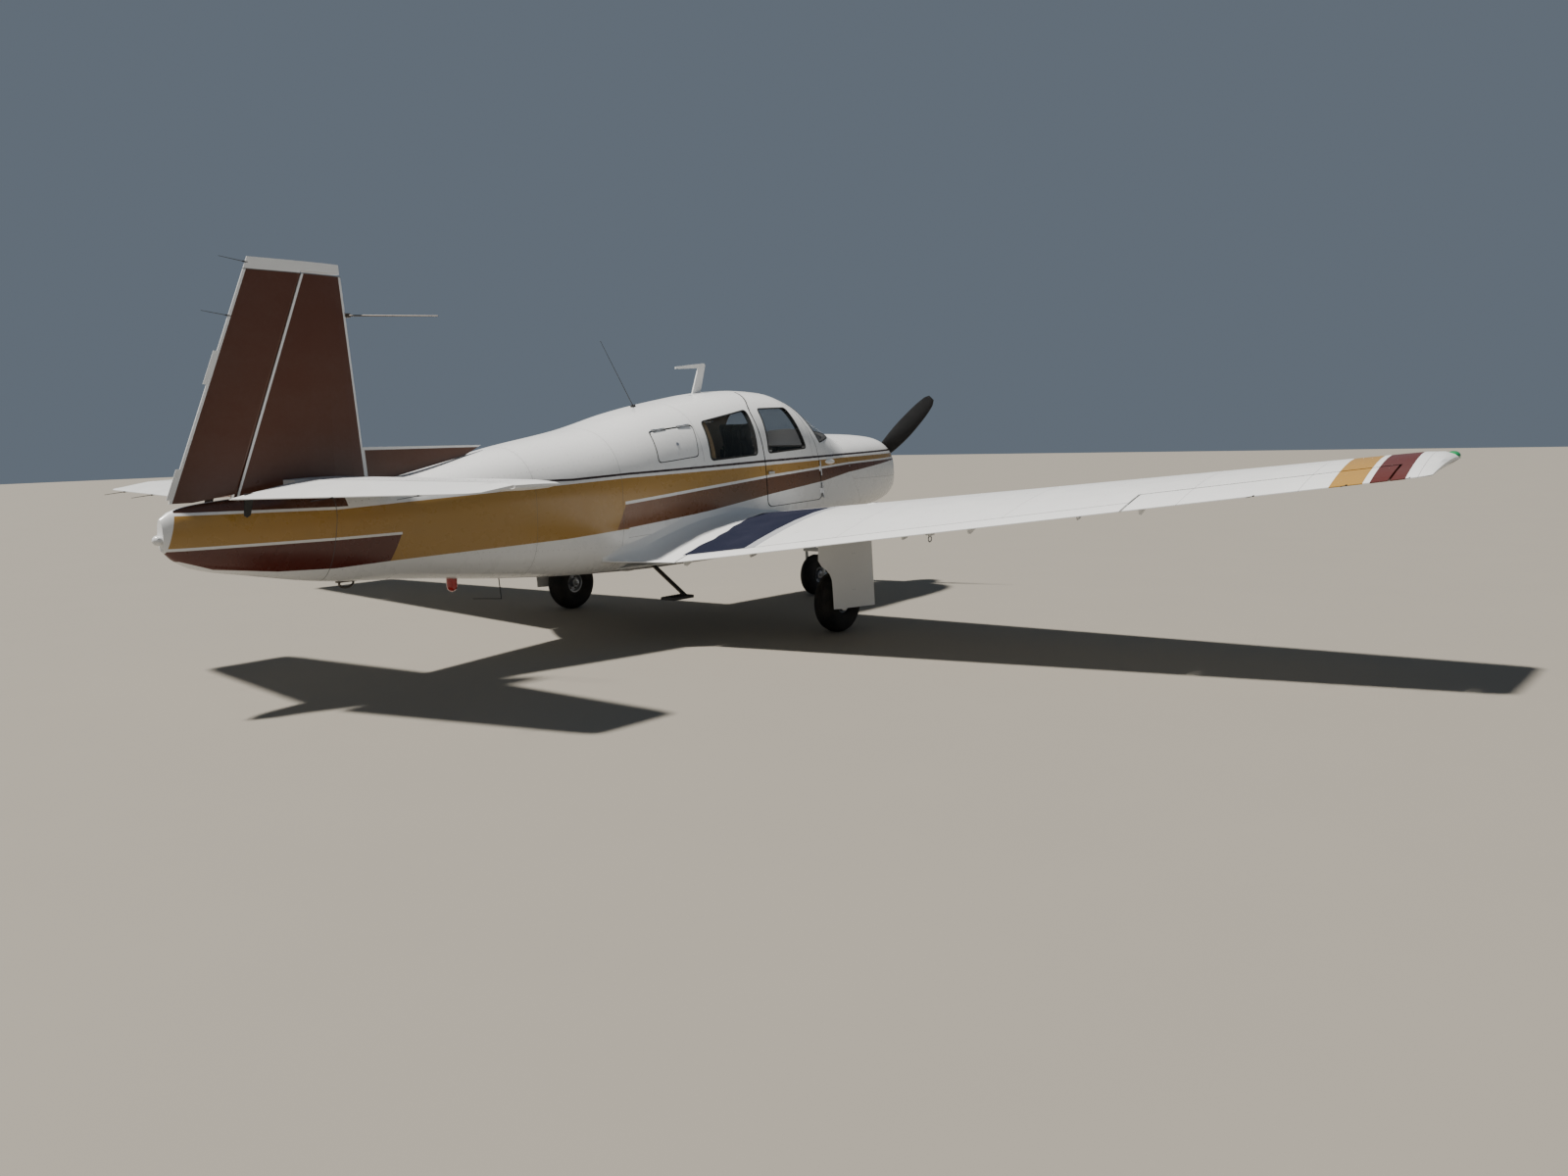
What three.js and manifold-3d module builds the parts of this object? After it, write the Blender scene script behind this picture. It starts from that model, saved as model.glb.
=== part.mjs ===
// Low-wing, four-seat light aircraft on a retractable nose-wheel undercarriage.
// Millimetres. +X points to the nose, +Y to the left wing, +Z up.
// The origin is on the ground, under the middle of the aircraft's length and width.
import * as THREE from 'three';
import { mergeVertices } from 'three/addons/utils/BufferGeometryUtils.js';
import Module from 'manifold-3d';

const wasm = await Module();
wasm.setup();

// Driving dimensions
const seat = 0.3;          // gap between fixed pieces that touch
const glassSeat = 0.5;     // gap round a pane
const runGap = 6;          // gap round a control surface's nose
const endGap = 13;         // gap at a control surface's ends
const wall = 32;           // cabin and door wall
const cowlSkin = 12;       // cowling skin
const coneSkin = 8;        // tail cone skin
const foilSkin = 8;        // skin of the hollow tail surfaces
const floorZ = 850;        // cabin floor

const splits = { firewall: 2000, baggage: -535, cone: -550, tail: -2530 };
const cowlSeam = [[2085, 1600], [2112, 1155], [2211, 991], [2345, 820], [2470, 600]];   // [x, z]

const mainWheel = { x: 720, y: 1380, z: 222, radius: 222, width: 160, rim: 82, bore: 15, axle: 14.3 };
const noseWheel = { x: 2397, y: 0, z: 180, radius: 180, width: 130, rim: 68, bore: 13, axle: 12.3 };

const wing = {
  halfSpan: 5335, rootLeX: 1335, tipLeX: 1140, rootTeX: -520, tipTeX: 245,
  rootTeZ: 486, teRise: 0.1231, rootIncidence: 5.45, tipIncidence: 4.4,
  rootThickness: 0.15, tipThickness: 0.12, camber: 0.02,
};
const flap = { inner: 830, outer: 3790, innerChord: 320, outerChord: 280, noseTrim: 14 };
const aileron = { inner: 3806, outer: 5140, innerChord: 285, outerChord: 280, noseTrim: 0 };
const shroud = { innerAft: 115, outerAft: 145, thick: 5, room: 9, ahead: 60 };   // wing skin over the flap

const stab = {
  halfSpan: 1790, z: 1212, rootLeX: -2200, tipLeX: -2300, rootTeX: -3230, tipTeX: -2880,
  thickness: 0.09, rootHingeX: -2730, tipHingeX: -2660, elevatorInner: 178, centreAftX: -2790, droop: 6,
};
const fin = {
  baseZ: 1150, topZ: 2406, capZ: 2470, baseLeX: -2209, topLeX: -2305, baseTeX: -3427, topTeX: -2909,
  thickness: 0.085, capGap: 10,
};
const rudderHinge = { bottom: [-3080, 1180], top: [-2590, 2410] };

const propeller = { x: 3270, z: 1100, radius: 940, hub: 62, shaft: 38, bore: 39, angle: 42 };
const spinner = { base: 3222, tip: 3530, radius: 165 };

// Body sections: x, top, bottom, waist height, half width, upper power, lower power
const sections = [
  [3190, 1300, 858, 1045, 290, 2.4, 2.2],
  [3150, 1340, 830, 1045, 355, 2.6, 2.3],
  [3060, 1374, 803, 1045, 424, 2.9, 2.5],
  [2900, 1404, 780, 1045, 484, 3.1, 2.8],
  [2600, 1422, 755, 1042, 535, 3.1, 3.2],
  [2206, 1432, 705, 1040, 565, 3, 3.6],
  [2110, 1443, 693, 1040, 568, 2.8, 3.8],
  [1920, 1562, 672, 1045, 570, 2.5, 4],
  [1720, 1680, 645, 1050, 571, 2.5, 4],
  [1570, 1745, 622, 1050, 572, 2.5, 4],
  [1400, 1780, 592, 1050, 572, 2.6, 4],
  [1150, 1790, 528, 1050, 572, 2.6, 4],
  [850, 1772, 494, 1050, 571, 2.6, 4],
  [480, 1722, 482, 1050, 566, 2.6, 4],
  [0, 1640, 482, 1050, 548, 2.5, 4],
  [-550, 1512, 494, 1045, 502, 2.4, 3.6],
  [-1220, 1402, 532, 1035, 405, 2.2, 3.2],
  [-2030, 1234, 610, 1000, 262, 2.2, 2.8],
  [-2530, 1190, 648, 985, 185, 2.2, 2.6],
  [-3080, 1160, 742, 965, 118, 2.2, 2.5],
  [-3310, 1138, 790, 965, 84, 2.2, 2.4],
  [-3430, 1112, 850, 970, 58, 2.2, 2.2],
  [-3485, 1075, 905, 975, 30, 2, 2],
];

// Openings in the cabin side, as [x, z] corners seen from the right
const outlines = {
  frontWindow: [[1018, 1294], [1521, 1321], [1441, 1644], [1057, 1635]],
  rearWindow: [[339, 1259], [879, 1286], [906, 1626], [360, 1538]],
  windshield: [[1745, 1362], [1965, 1406], [2068, 1462], [2200, 1600], [1760, 1960], [1600, 1762],
    [1630, 1650]],
  door: [[975, 874], [1712, 898], [1668, 1385], [1565, 1660], [1480, 1820], [1110, 1820], [938, 1625],
    [955, 1240]],
  baggage: [[-194, 1252], [212, 1288], [256, 1523], [-169, 1479]],
};

// Paint and materials
const colours = {
  white: 0xf1f0ec, gold: 0xb5822f, brown: 0x4c2716, glass: 0x9fb4b8, black: 0x16161a,
  steel: 0x8f9296, rubber: 0x1c1b1b, leather: 0x8a6a48, panel: 0x2b2a2c, red: 0xb01a14,
  aluminium: 0xb9bcc0, iron: 0x5c5f62,
};

const aircraft = new THREE.Group();

function addPiece(name, shape, colour, roughness = 0.4, metalness = 0) {
  const mesh = shape.getMesh();
  const geometry = new THREE.BufferGeometry();
  geometry.setAttribute('position', new THREE.BufferAttribute(mesh.vertProperties, 3));
  geometry.setIndex(new THREE.BufferAttribute(mesh.triVerts, 1));
  geometry.computeVertexNormals();
  const material = new THREE.MeshStandardMaterial({ color: colours[colour], roughness, metalness });
  const piece = new THREE.Mesh(geometry, material);
  piece.name = name;
  aircraft.add(piece);
}

// Solids from closed geometries
function solid(geometry) {
  geometry.deleteAttribute('normal');
  geometry.deleteAttribute('uv');
  const merged = mergeVertices(geometry, 0.001);
  return new wasm.Manifold(new wasm.Mesh({
    numProp: 3,
    vertProperties: new Float32Array(merged.attributes.position.array),
    triVerts: new Uint32Array(merged.index.array),
  }));
}

function largest(shape) {
  const bodies = shape.decompose();
  return bodies.reduce((best, body) => (body.volume() > best.volume() ? body : best));
}

function union(shapes) {
  return shapes.reduce((whole, shape) => whole.add(shape));
}

// A closed skin through rings of equally many points, with a flat cap at each end
function loft(rings) {
  const count = rings[0].length;
  const points = rings.flat();
  const triangles = [];
  rings.slice(1).forEach((ring, i) => {
    for (let j = 0; j < count; j += 1) {
      const a = i * count + j;
      const b = i * count + (j + 1) % count;
      triangles.push(a, b, a + count, b, b + count, a + count);
    }
  });
  [0, rings.length - 1].forEach((i) => {
    const centre = points.length;
    points.push(rings[i].reduce((sum, p) => sum.clone().add(p)).divideScalar(count));
    for (let j = 0; j < count; j += 1) {
      const edge = [i * count + j, i * count + (j + 1) % count];
      triangles.push(centre, ...(i === 0 ? edge.reverse() : edge));
    }
  });
  const origin = points[0];
  let volume = 0;
  for (let t = 0; t < triangles.length; t += 3) {
    const [a, b, c] = [0, 1, 2].map((k) => points[triangles[t + k]].clone().sub(origin));
    volume += a.dot(b.cross(c));
  }
  if (volume < 0) triangles.reverse();
  const geometry = new THREE.BufferGeometry().setFromPoints(points);
  geometry.setIndex(triangles);
  return solid(geometry);
}

function box(x0, x1, y0, y1, z0, z1) {
  const geometry = new THREE.BoxGeometry(x1 - x0, y1 - y0, z1 - z0);
  geometry.translate((x0 + x1) / 2, (y0 + y1) / 2, (z0 + z1) / 2);
  return solid(geometry);
}

// A round bar from one point to another, with a radius at each end
function rod(from, to, radius, endRadius = radius, sides = 12) {
  const start = new THREE.Vector3(...from);
  const end = new THREE.Vector3(...to);
  const along = end.clone().sub(start);
  const geometry = new THREE.CylinderGeometry(endRadius, radius, along.length(), sides);
  const turn = new THREE.Quaternion().setFromUnitVectors(new THREE.Vector3(0, 1, 0), along.normalize());
  geometry.applyQuaternion(turn);
  geometry.translate(...start.add(end).multiplyScalar(0.5).toArray());
  return solid(geometry);
}

function ball(x, y, z, radius, sides = 12) {
  const geometry = new THREE.SphereGeometry(radius, sides, sides / 2);
  geometry.translate(x, y, z);
  return solid(geometry);
}

// A side-view outline with rounded corners, pushed along Y between y0 and y1
function sidePrism(corners, y0, y1, radius = 0) {
  const shape = new THREE.Shape();
  const count = corners.length;
  corners.forEach((corner, i) => {
    const here = new THREE.Vector2(...corner);
    const [before, after] = [count - 1, 1].map((step) => (
      new THREE.Vector2(...corners[(i + step) % count]).sub(here).setLength(radius).add(here)));
    if (i === 0) shape.moveTo(before.x, before.y);
    else shape.lineTo(before.x, before.y);
    if (radius > 0) shape.quadraticCurveTo(here.x, here.y, after.x, after.y);
  });
  const settings = { depth: y1 - y0, bevelEnabled: false, curveSegments: 3 };
  const geometry = new THREE.ExtrudeGeometry(shape, settings);
  geometry.rotateX(Math.PI / 2);
  geometry.translate(0, y1, 0);
  return solid(geometry);
}

// The outline with each edge moved inwards by a margin, one value or one for each edge
function shrink(corners, margin) {
  const count = corners.length;
  const margins = Array.isArray(margin) ? margin : corners.map(() => margin);
  const area = corners.reduce((sum, [x, z], i) => {
    const [nx, nz] = corners[(i + 1) % count];
    return sum + x * nz - nx * z;
  }, 0);
  const edges = corners.map(([x, z], i) => {
    const [nx, nz] = corners[(i + 1) % count];
    const length = Math.hypot(nx - x, nz - z) * Math.sign(area);
    const normal = [-(nz - z) / length, (nx - x) / length];
    return { normal, reach: normal[0] * x + normal[1] * z + margins[i] };
  });
  return corners.map((_, i) => {
    const a = edges[(i + count - 1) % count];
    const b = edges[i];
    const cross = a.normal[0] * b.normal[1] - a.normal[1] * b.normal[0];
    return [
      (a.reach * b.normal[1] - b.reach * a.normal[1]) / cross,
      (b.reach * a.normal[0] - a.reach * b.normal[0]) / cross,
    ];
  });
}

// Body skin
function sectionAt(x) {
  const i = sections.findIndex((row) => row[0] <= x);
  if (i <= 0) return sections[Math.max(i, 0)];
  const share = (x - sections[i][0]) / (sections[i - 1][0] - sections[i][0]);
  return sections[i].map((value, k) => value + share * (sections[i - 1][k] - value));
}

function bodyRing(row, inset, count = 28) {
  const [x, top, bottom, waist, half, upper, lower] = row;
  return Array.from({ length: count }, (_, i) => {
    const turn = 2 * Math.PI * i / count;
    const power = Math.sin(turn) >= 0 ? upper : lower;
    const across = Math.sign(Math.cos(turn)) * Math.abs(Math.cos(turn)) ** (2 / power);
    const up = Math.abs(Math.sin(turn)) ** (2 / power);
    const rise = Math.sin(turn) >= 0 ? top - waist - inset : -(waist - bottom - inset);
    return new THREE.Vector3(x, across * (half - inset), waist + up * rise);
  });
}

const wholeBodies = new Map();
function body(fromX, toX, inset = 0) {
  if (!wholeBodies.has(inset)) wholeBodies.set(inset, loft(sections.map((row) => bodyRing(row, inset))));
  return wholeBodies.get(inset).intersect(box(toX, fromX, -800, 800, 0, 2000));
}

// The part of a shape that stands outside the body
const bodyCut = (shape) => largest(shape.subtract(body(3190, -3485, -seat)));

// Distance of the body's side from the centre plane at one station and height
function skinY(x, z) {
  const [, top, bottom, waist, half, upper, lower] = sectionAt(x);
  const power = z >= waist ? upper : lower;
  const share = Math.abs(z - waist) / (z >= waist ? top - waist : waist - bottom);
  return half * (1 - share ** power) ** (1 / power);
}

// Wing sections
function foilHalf(share, thickness) {
  const root = 0.2969 * Math.sqrt(share);
  const rest = 0.126 * share + 0.3516 * share ** 2 - 0.2843 * share ** 3 + 0.1036 * share ** 4;
  return 5 * thickness * (root - rest);
}

function foilCamber(share, camber, peak = 0.4) {
  if (share < peak) return camber * (2 * peak * share - share ** 2) / peak ** 2;
  return camber * (1 - 2 * peak + 2 * peak * share - share ** 2) / (1 - peak) ** 2;
}

// Points round a foil as [share of chord, height], from the upper trailing edge forward and back
function foilOutline(chord, thickness, camber, grow, steps = 11) {
  const edge = 2.5;
  const shares = Array.from({ length: steps + 1 }, (_, i) => 0.5 + 0.5 * Math.cos(Math.PI * i / steps));
  const halfAt = (share) => foilHalf(share, thickness) * chord + edge * share + grow;
  const stretch = (share) => share + grow / chord * (2 * share - 1);
  const upper = shares.map((share) => [stretch(share), foilCamber(share, camber) * chord + halfAt(share)]);
  const lower = shares.slice(0, -1).reverse()
    .map((share) => [stretch(share), foilCamber(share, camber) * chord - halfAt(share)]);
  return [...upper.slice(0, -1), [stretch(0), 0], ...lower];
}

// The hollow inside a foil between two shares of its chord, as [share of chord, height]
function foilHollow(chord, thickness, from, to, steps = 5) {
  const shares = Array.from({ length: steps + 1 }, (_, i) => to + (from - to) * i / steps);
  const half = (share) => foilHalf(share, thickness) * chord - foilSkin;
  return [
    ...shares.map((share) => [share, half(share)]),
    ...shares.slice().reverse().map((share) => [share, -half(share)]),
  ];
}

function wingAt(y) {
  const share = Math.abs(y) / wing.halfSpan;
  const leX = wing.rootLeX + share * (wing.tipLeX - wing.rootLeX);
  const teX = wing.rootTeX + share * (wing.tipTeX - wing.rootTeX);
  const teZ = wing.rootTeZ + wing.teRise * Math.abs(y);
  const thickness = wing.rootThickness + share * (wing.tipThickness - wing.rootThickness);
  return { leX, teX, teZ, chord: leX - teX, thickness };
}

function wingTilt(y) {
  const share = Math.abs(y) / wing.halfSpan;
  const incidence = wing.rootIncidence + share * (wing.tipIncidence - wing.rootIncidence);
  return Math.tan(THREE.MathUtils.degToRad(incidence));
}

// Wing rows from the root out: distance in from the tip, share of chord kept, share of thickness kept
const wingRows = [[3900, 1, 1], [2500, 1, 1], [1200, 1, 1], [150, 1, 1], [60, 0.985, 0.86],
  [16, 0.95, 0.52], [0, 0.91, 0.16]];

function wingRing(y, chordShare, thicknessShare, grow) {
  const { leX, teX, teZ, chord, thickness } = wingAt(y);
  const kept = chord * chordShare;
  const middle = (leX + teX) / 2 + (chord - kept) * 0.1;
  const side = Math.sign(y) * grow * (Math.abs(y) === wing.halfSpan ? 1 : 0);
  return foilOutline(kept, thickness * thicknessShare, wing.camber, grow).map(([share, height]) => {
    const x = middle + kept / 2 - share * kept;
    return new THREE.Vector3(x, y + side, teZ + (x - teX) * wingTilt(y) + height);
  });
}

function wingSolid(grow = 0) {
  const left = wingRows.map(([inboard, chord, thickness]) => [wing.halfSpan - inboard, chord, thickness]);
  const right = left.slice().reverse().map(([y, ...rest]) => [-y, ...rest]);
  return loft([...right, [0, 1, 1], ...left].map((row) => wingRing(...row, grow)));
}

// A point on the wing's mid-thickness line, a given distance ahead of the trailing edge
function wingHinge(y, chordAft) {
  const { teX, teZ, chord, thickness } = wingAt(y);
  const share = 1 - chordAft / chord;
  const x = teX + chordAft;
  const z = teZ + chordAft * wingTilt(y) + foilCamber(share, wing.camber) * chord;
  return { point: [x, y, z], half: foilHalf(share, thickness) * chord + 2 };
}

// The region behind a hinge line between two span stations, and the round nose on that line
function surfaceRegion(inner, outer, y0, y1, grow) {
  const back = 900;
  const tall = 260;
  const lineAt = (y) => inner.point.map((v, k) => v + (y - inner.point[1]) * (outer.point[k] - v)
    / (outer.point[1] - inner.point[1]));
  const quad = (y) => {
    const [x, , z] = lineAt(y);
    return [[x, z - tall], [x, z + tall], [x - back, z + tall], [x - back, z - tall]]
      .map(([px, pz]) => new THREE.Vector3(px, y, pz));
  };
  const slab = box(-4000, 3000, Math.min(y0, y1), Math.max(y0, y1), 0, 2000);
  const reach = 40 * Math.sign(y1 - y0);
  const nose = rod(lineAt(y0 - reach), lineAt(y1 + reach), inner.half + grow, outer.half + grow, 20);
  return loft([quad(y0), quad(y1)]).add(nose.intersect(slab));
}

// The fuselage pieces
const wingGrown = wingSolid(seat);
const cabinCavity = body(2500, splits.baggage, wall)
  .intersect(box(splits.baggage, 2500, -700, 700, floorZ, 2000));
const behindSeam = sidePrism([...cowlSeam, [-1000, 0], [-1000, 2000], [2085, 2000]], -800, 800);
const cabinSkin = body(2500, splits.cone).intersect(behindSeam).subtract(cabinCavity);
const glassSkin = body(2300, splits.cone, 3).subtract(body(2400, splits.cone - 50, 9));
const wellRoof = 790;
const noseWell = box(1640, 2500, -150, 150, 400, wellRoof);

const rightSide = [-700, 0];
const leftSide = [0, 700];
const doorSide = [-700, -186];
const corner = { window: 32, door: 60, baggage: 30, windshield: 20 };

function pane(outline, [y0, y1], radius) {
  return largest(glassSkin.intersect(sidePrism(shrink(outline, glassSeat), y0, y1, radius)));
}

// Hinge knuckles on an axis: two on the frame with the door's own between them
function knuckles(at, axis, toDoor, toFrame, reach) {
  const length = 40;
  const radius = 6;
  const play = 0.4;
  const axisDir = new THREE.Vector3(...axis).normalize();
  const place = (offset) => new THREE.Vector3(...at).addScaledVector(axisDir, offset);
  const knuckle = (from, to, toward) => {
    const start = place(from);
    const end = place(to);
    const aim = new THREE.Vector3(...toward);
    const arm = aim.addScaledVector(axisDir, -aim.dot(axisDir)).setLength(reach);
    const half = new THREE.Vector3().crossVectors(axisDir, arm).setLength(3.5);
    const ring = (p) => [[-1, 0], [1, 0], [1, 1], [-1, 1]]
      .map(([s, t]) => p.clone().addScaledVector(half, s).addScaledVector(arm, t));
    return rod(start.toArray(), end.toArray(), radius, radius, 12).add(loft([ring(start), ring(end)]));
  };
  return {
    door: knuckle(-length / 2, length / 2, toDoor),
    frame: knuckle(-1.5 * length, -length / 2 - play, toFrame)
      .add(knuckle(length / 2 + play, 1.5 * length, toFrame)),
  };
}

// The door's hinge line follows its front edge, just proud of the skin
const doorHinge = { low: [1713, -589.5, 898], high: [1669, -563.5, 1385] };
const doorAxis = doorHinge.high.map((v, k) => v - doorHinge.low[k]);
const doorKnuckles = [0.15, 0.52].map((share) => knuckles(
  doorHinge.low.map((v, k) => v + share * doorAxis[k]),
  doorAxis,
  [-1, 0.75, 0],
  [1, 0.75, 0],
  36,
));

const bagProud = 9;
const bagFront = [256, -skinY(256, 1523) - bagProud, 1523];
const bagBack = [-169, -skinY(-169, 1479) - bagProud, 1479];
const bagAxis = bagFront.map((v, k) => v - bagBack[k]);
const bagKnuckles = [0.22, 0.78].map((share) => knuckles(
  bagBack.map((v, k) => v + share * bagAxis[k]),
  bagAxis,
  [0, -0.1, -1],
  [0, 1, 0.3],
  30,
));

// Cutter that keeps a leaf's aft edge clear of its jamb: from the skin it runs against the leaf's swing
function swingRelief(edge, hingePoint, axis) {
  const reach = { out: 30, in: 190, aft: 150 };
  const direction = new THREE.Vector3(...axis).normalize();
  return loft(edge.map(([x, z]) => {
    const at = new THREE.Vector3(x, -skinY(x, z), z);
    const sweep = at.clone().sub(new THREE.Vector3(...hingePoint)).cross(direction).normalize();
    const inner = at.clone().addScaledVector(sweep, reach.in);
    const outer = at.clone().addScaledVector(sweep, -reach.out);
    return [outer, inner, ...[inner, outer].map((p) => p.clone().setX(p.x - reach.aft))];
  }));
}

const cabinShell = cabinSkin
  .subtract(sidePrism(outlines.frontWindow, ...leftSide, corner.window))
  .subtract(sidePrism(outlines.rearWindow, -700, 700, corner.window))
  .subtract(sidePrism(outlines.windshield, -700, 700, corner.windshield))
  .subtract(sidePrism(outlines.door, ...doorSide, corner.door))
  .subtract(sidePrism(outlines.baggage, ...rightSide, corner.baggage))
  .subtract(noseWell)
  .subtract(wingGrown);
addPiece('cabin_shell', union([
  largest(cabinShell),
  ...doorKnuckles.map((hinge) => hinge.frame),
  ...bagKnuckles.map((hinge) => hinge.frame),
]), 'white', 0.35);

addPiece('windshield', pane(outlines.windshield, [-700, 700], corner.windshield), 'glass', 0.05);
addPiece('window_front_left', pane(outlines.frontWindow, leftSide, corner.window), 'glass', 0.05);
addPiece('window_rear_left', pane(outlines.rearWindow, leftSide, corner.window), 'glass', 0.05);
addPiece('window_rear_right', pane(outlines.rearWindow, rightSide, corner.window), 'glass', 0.05);
addPiece('window_door', pane(outlines.frontWindow, rightSide, corner.window), 'glass', 0.05);

const doorGaps = [5, 5, 5, 5, 8, 8, 10, 10];
const doorBlank = cabinSkin.intersect(sidePrism(shrink(outlines.door, doorGaps), doorSide[0], doorSide[1] - 6,
  corner.door));
const between = (from, to, share) => from.map((v, k) => v + share * (to[k] - v));
const [doorTop, doorUpper, doorLower] = shrink(outlines.door, doorGaps[6] - 0.5).slice(5);
const roundStart = between(doorUpper, doorLower, 0.15);
const roundEnd = between(doorUpper, doorTop, 0.22);
const doorAft = [
  ...[0, 0.5].map((share) => between(doorLower, doorUpper, share)),
  roundStart,
  between(doorUpper, between(roundStart, roundEnd, 0.5), 0.5),
  roundEnd,
  ...[0.3, 0.4, 0.5, 0.58, 0.65, 0.71, 0.75, 0.78].map((share) => between(doorUpper, doorTop, share)),
];
const doorLeaf = doorBlank
  .subtract(swingRelief(doorAft, doorHinge.low, doorAxis))
  .subtract(sidePrism(outlines.frontWindow, ...rightSide, corner.window))
  .subtract(wingGrown);
addPiece('cabin_door', union([largest(doorLeaf), ...doorKnuckles.map((hinge) => hinge.door)]), 'white', 0.35);

const handle = { back: 982, front: 1056, low: 1130, high: 1150, proud: 14, thick: 5, foot: 22 };
const handleY = -skinY(handle.back, handle.low) - handle.proud;
const handleGrip = box(handle.back, handle.front, handleY, handleY + handle.thick, handle.low, handle.high);
const handleFoot = box(handle.front - handle.foot, handle.front, handleY + 1, handleY + 40,
  handle.low + 2, handle.high - 2);
addPiece('door_handle', bodyCut(handleGrip.add(handleFoot)), 'aluminium', 0.3, 0.9);

const baggageGaps = [6, 6, 10, 8];
const [bagLower, , , bagUpper] = shrink(outlines.baggage, 6);
const bagAft = [-0.1, 0.5, 1].map((share) => between(bagLower, bagUpper, share));
const baggageBlank = cabinSkin
  .intersect(sidePrism(shrink(outlines.baggage, baggageGaps), ...rightSide, corner.baggage))
  .subtract(swingRelief(bagAft, bagFront, bagAxis.map((v) => -v)));
addPiece('baggage_door', union([
  largest(baggageBlank),
  ...bagKnuckles.map((hinge) => hinge.door),
]), 'white', 0.35);

// Firewall and cowling
const firewallThick = 5;
addPiece('firewall', body(splits.firewall + firewallThick, splits.firewall, wall + seat)
  .intersect(box(1900, 2100, -700, 700, floorZ + seat, 2000)), 'aluminium', 0.5, 0.8);

const inlets = [-1, 1].map((side) => sidePrism([[3100, 1075], [3300, 1075], [3300, 1165], [3100, 1165]],
  Math.min(side * 165, side * 275), Math.max(side * 165, side * 275), 20));
const lowerInlet = sidePrism([[3080, 880], [3300, 880], [3300, 935], [3080, 935]], -90, 90, 10);
const cowlOutlet = box(2430, 2560, 165, 330, 600, 800);
const seamGap = cowlSeam.map(([x, z]) => [x + 3 * seat, z]);
const aheadOfSeam = sidePrism([...seamGap, [3300, 600], [3300, 1600]], -800, 800);
const cowling = body(3190, 1900).intersect(aheadOfSeam)
  .subtract(body(3172, 1900, cowlSkin))
  .subtract(rod([3100, 0, propeller.z], [3300, 0, propeller.z], 75, 75, 16))
  .subtract(union(inlets))
  .subtract(lowerInlet)
  .subtract(cowlOutlet)
  .subtract(noseWell);
addPiece('cowling', largest(cowling), 'white', 0.35);

// Engine with its mount tubes, crankcase nose and shaft, which carries the propeller
const engineBlock = body(3050, 2400, 45).intersect(box(2400, 3050, -425, 425, 900, 1290));
const mountTubes = [-1, 1].flatMap((side) => [930, 1200].map((z) => rod(
  [splits.firewall + firewallThick + 8 * seat, side * 330, z + 30],
  [2440, side * 290, z],
  14,
  14,
  10,
)));
addPiece('engine', union([
  engineBlock,
  ...mountTubes,
  rod([3030, 0, propeller.z], [3150, 0, propeller.z], 70, 55, 14),
  rod([3140, 0, propeller.z], [3250, 0, propeller.z], propeller.shaft, propeller.shaft, 18),
]), 'iron', 0.6, 0.6);

addPiece('exhaust_pipe', rod([2540, 235, 899.6], [2540, 235, 820], 26, 26, 14)
  .add(rod([2540, 235, 832], [2470, 235, 680], 26, 26, 14)), 'steel', 0.5, 0.9);

// Aft fuselage
const stabRows = [[0, 1, 1], [1640, 1, 1], [1745, 0.97, 0.8], [1790, 0.88, 0.3]];

function stabRing(y, chordShare, thicknessShare, grow) {
  const share = Math.abs(y) / stab.halfSpan;
  const leX = stab.rootLeX + share * (stab.tipLeX - stab.rootLeX);
  const teX = stab.rootTeX + share * (stab.tipTeX - stab.rootTeX);
  const chord = (leX - teX) * chordShare;
  const middle = (leX + teX) / 2;
  return foilOutline(chord, stab.thickness * thicknessShare, 0, grow, 9).map(([along, height]) => (
    new THREE.Vector3(middle + chord / 2 - along * chord, y, stab.z + height)));
}

function stabSolid(grow = 0) {
  const right = stabRows.slice(1).reverse().map(([y, ...rest]) => [-y, ...rest]);
  return loft([...right, ...stabRows].map((row) => stabRing(...row, grow)));
}

// Hollow of the stabilizer or an elevator, between two stations
function stabHollow(y0, y1, from, to) {
  return loft([y0, y1].map((y) => {
    const share = Math.abs(y) / stab.halfSpan;
    const leX = stab.rootLeX + share * (stab.tipLeX - stab.rootLeX);
    const chord = leX - stab.rootTeX - share * (stab.tipTeX - stab.rootTeX);
    return foilHollow(chord, stab.thickness, from, to).map(([along, height]) => (
      new THREE.Vector3(leX - along * chord, y, stab.z + height)));
  }));
}

const stabCentreAft = box(-4000, stab.centreAftX, -400, 400, 1000, 1400);
const stabGrown = stabSolid(seat).subtract(stabCentreAft);

addPiece('tail_cone', largest(body(splits.cone - seat, splits.tail)
  .subtract(body(splits.cone + 50, splits.tail - 50, coneSkin))
  .subtract(stabGrown)), 'white', 0.35);

const rudderAxis = {
  bottom: [rudderHinge.bottom[0], 0, rudderHinge.bottom[1]],
  top: [rudderHinge.top[0], 0, rudderHinge.top[1]],
};
const directionFrom = (start, end) => new THREE.Vector3(...end).sub(new THREE.Vector3(...start)).normalize();
const rudderDirection = directionFrom(rudderAxis.bottom, rudderAxis.top);
const onRudderAxis = (distance) => new THREE.Vector3(...rudderAxis.bottom)
  .addScaledVector(rudderDirection, distance).toArray();
const rudderPin = 7;
const rudderBore = 7.6;

const tailSkin = largest(body(splits.tail - seat, -3485)
  .subtract(body(splits.tail + 50, -3440, coneSkin))
  .subtract(stabGrown));
addPiece('tail_section', tailSkin.add(rod(onRudderAxis(-34), onRudderAxis(30), rudderPin)), 'gold', 0.35);

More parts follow.
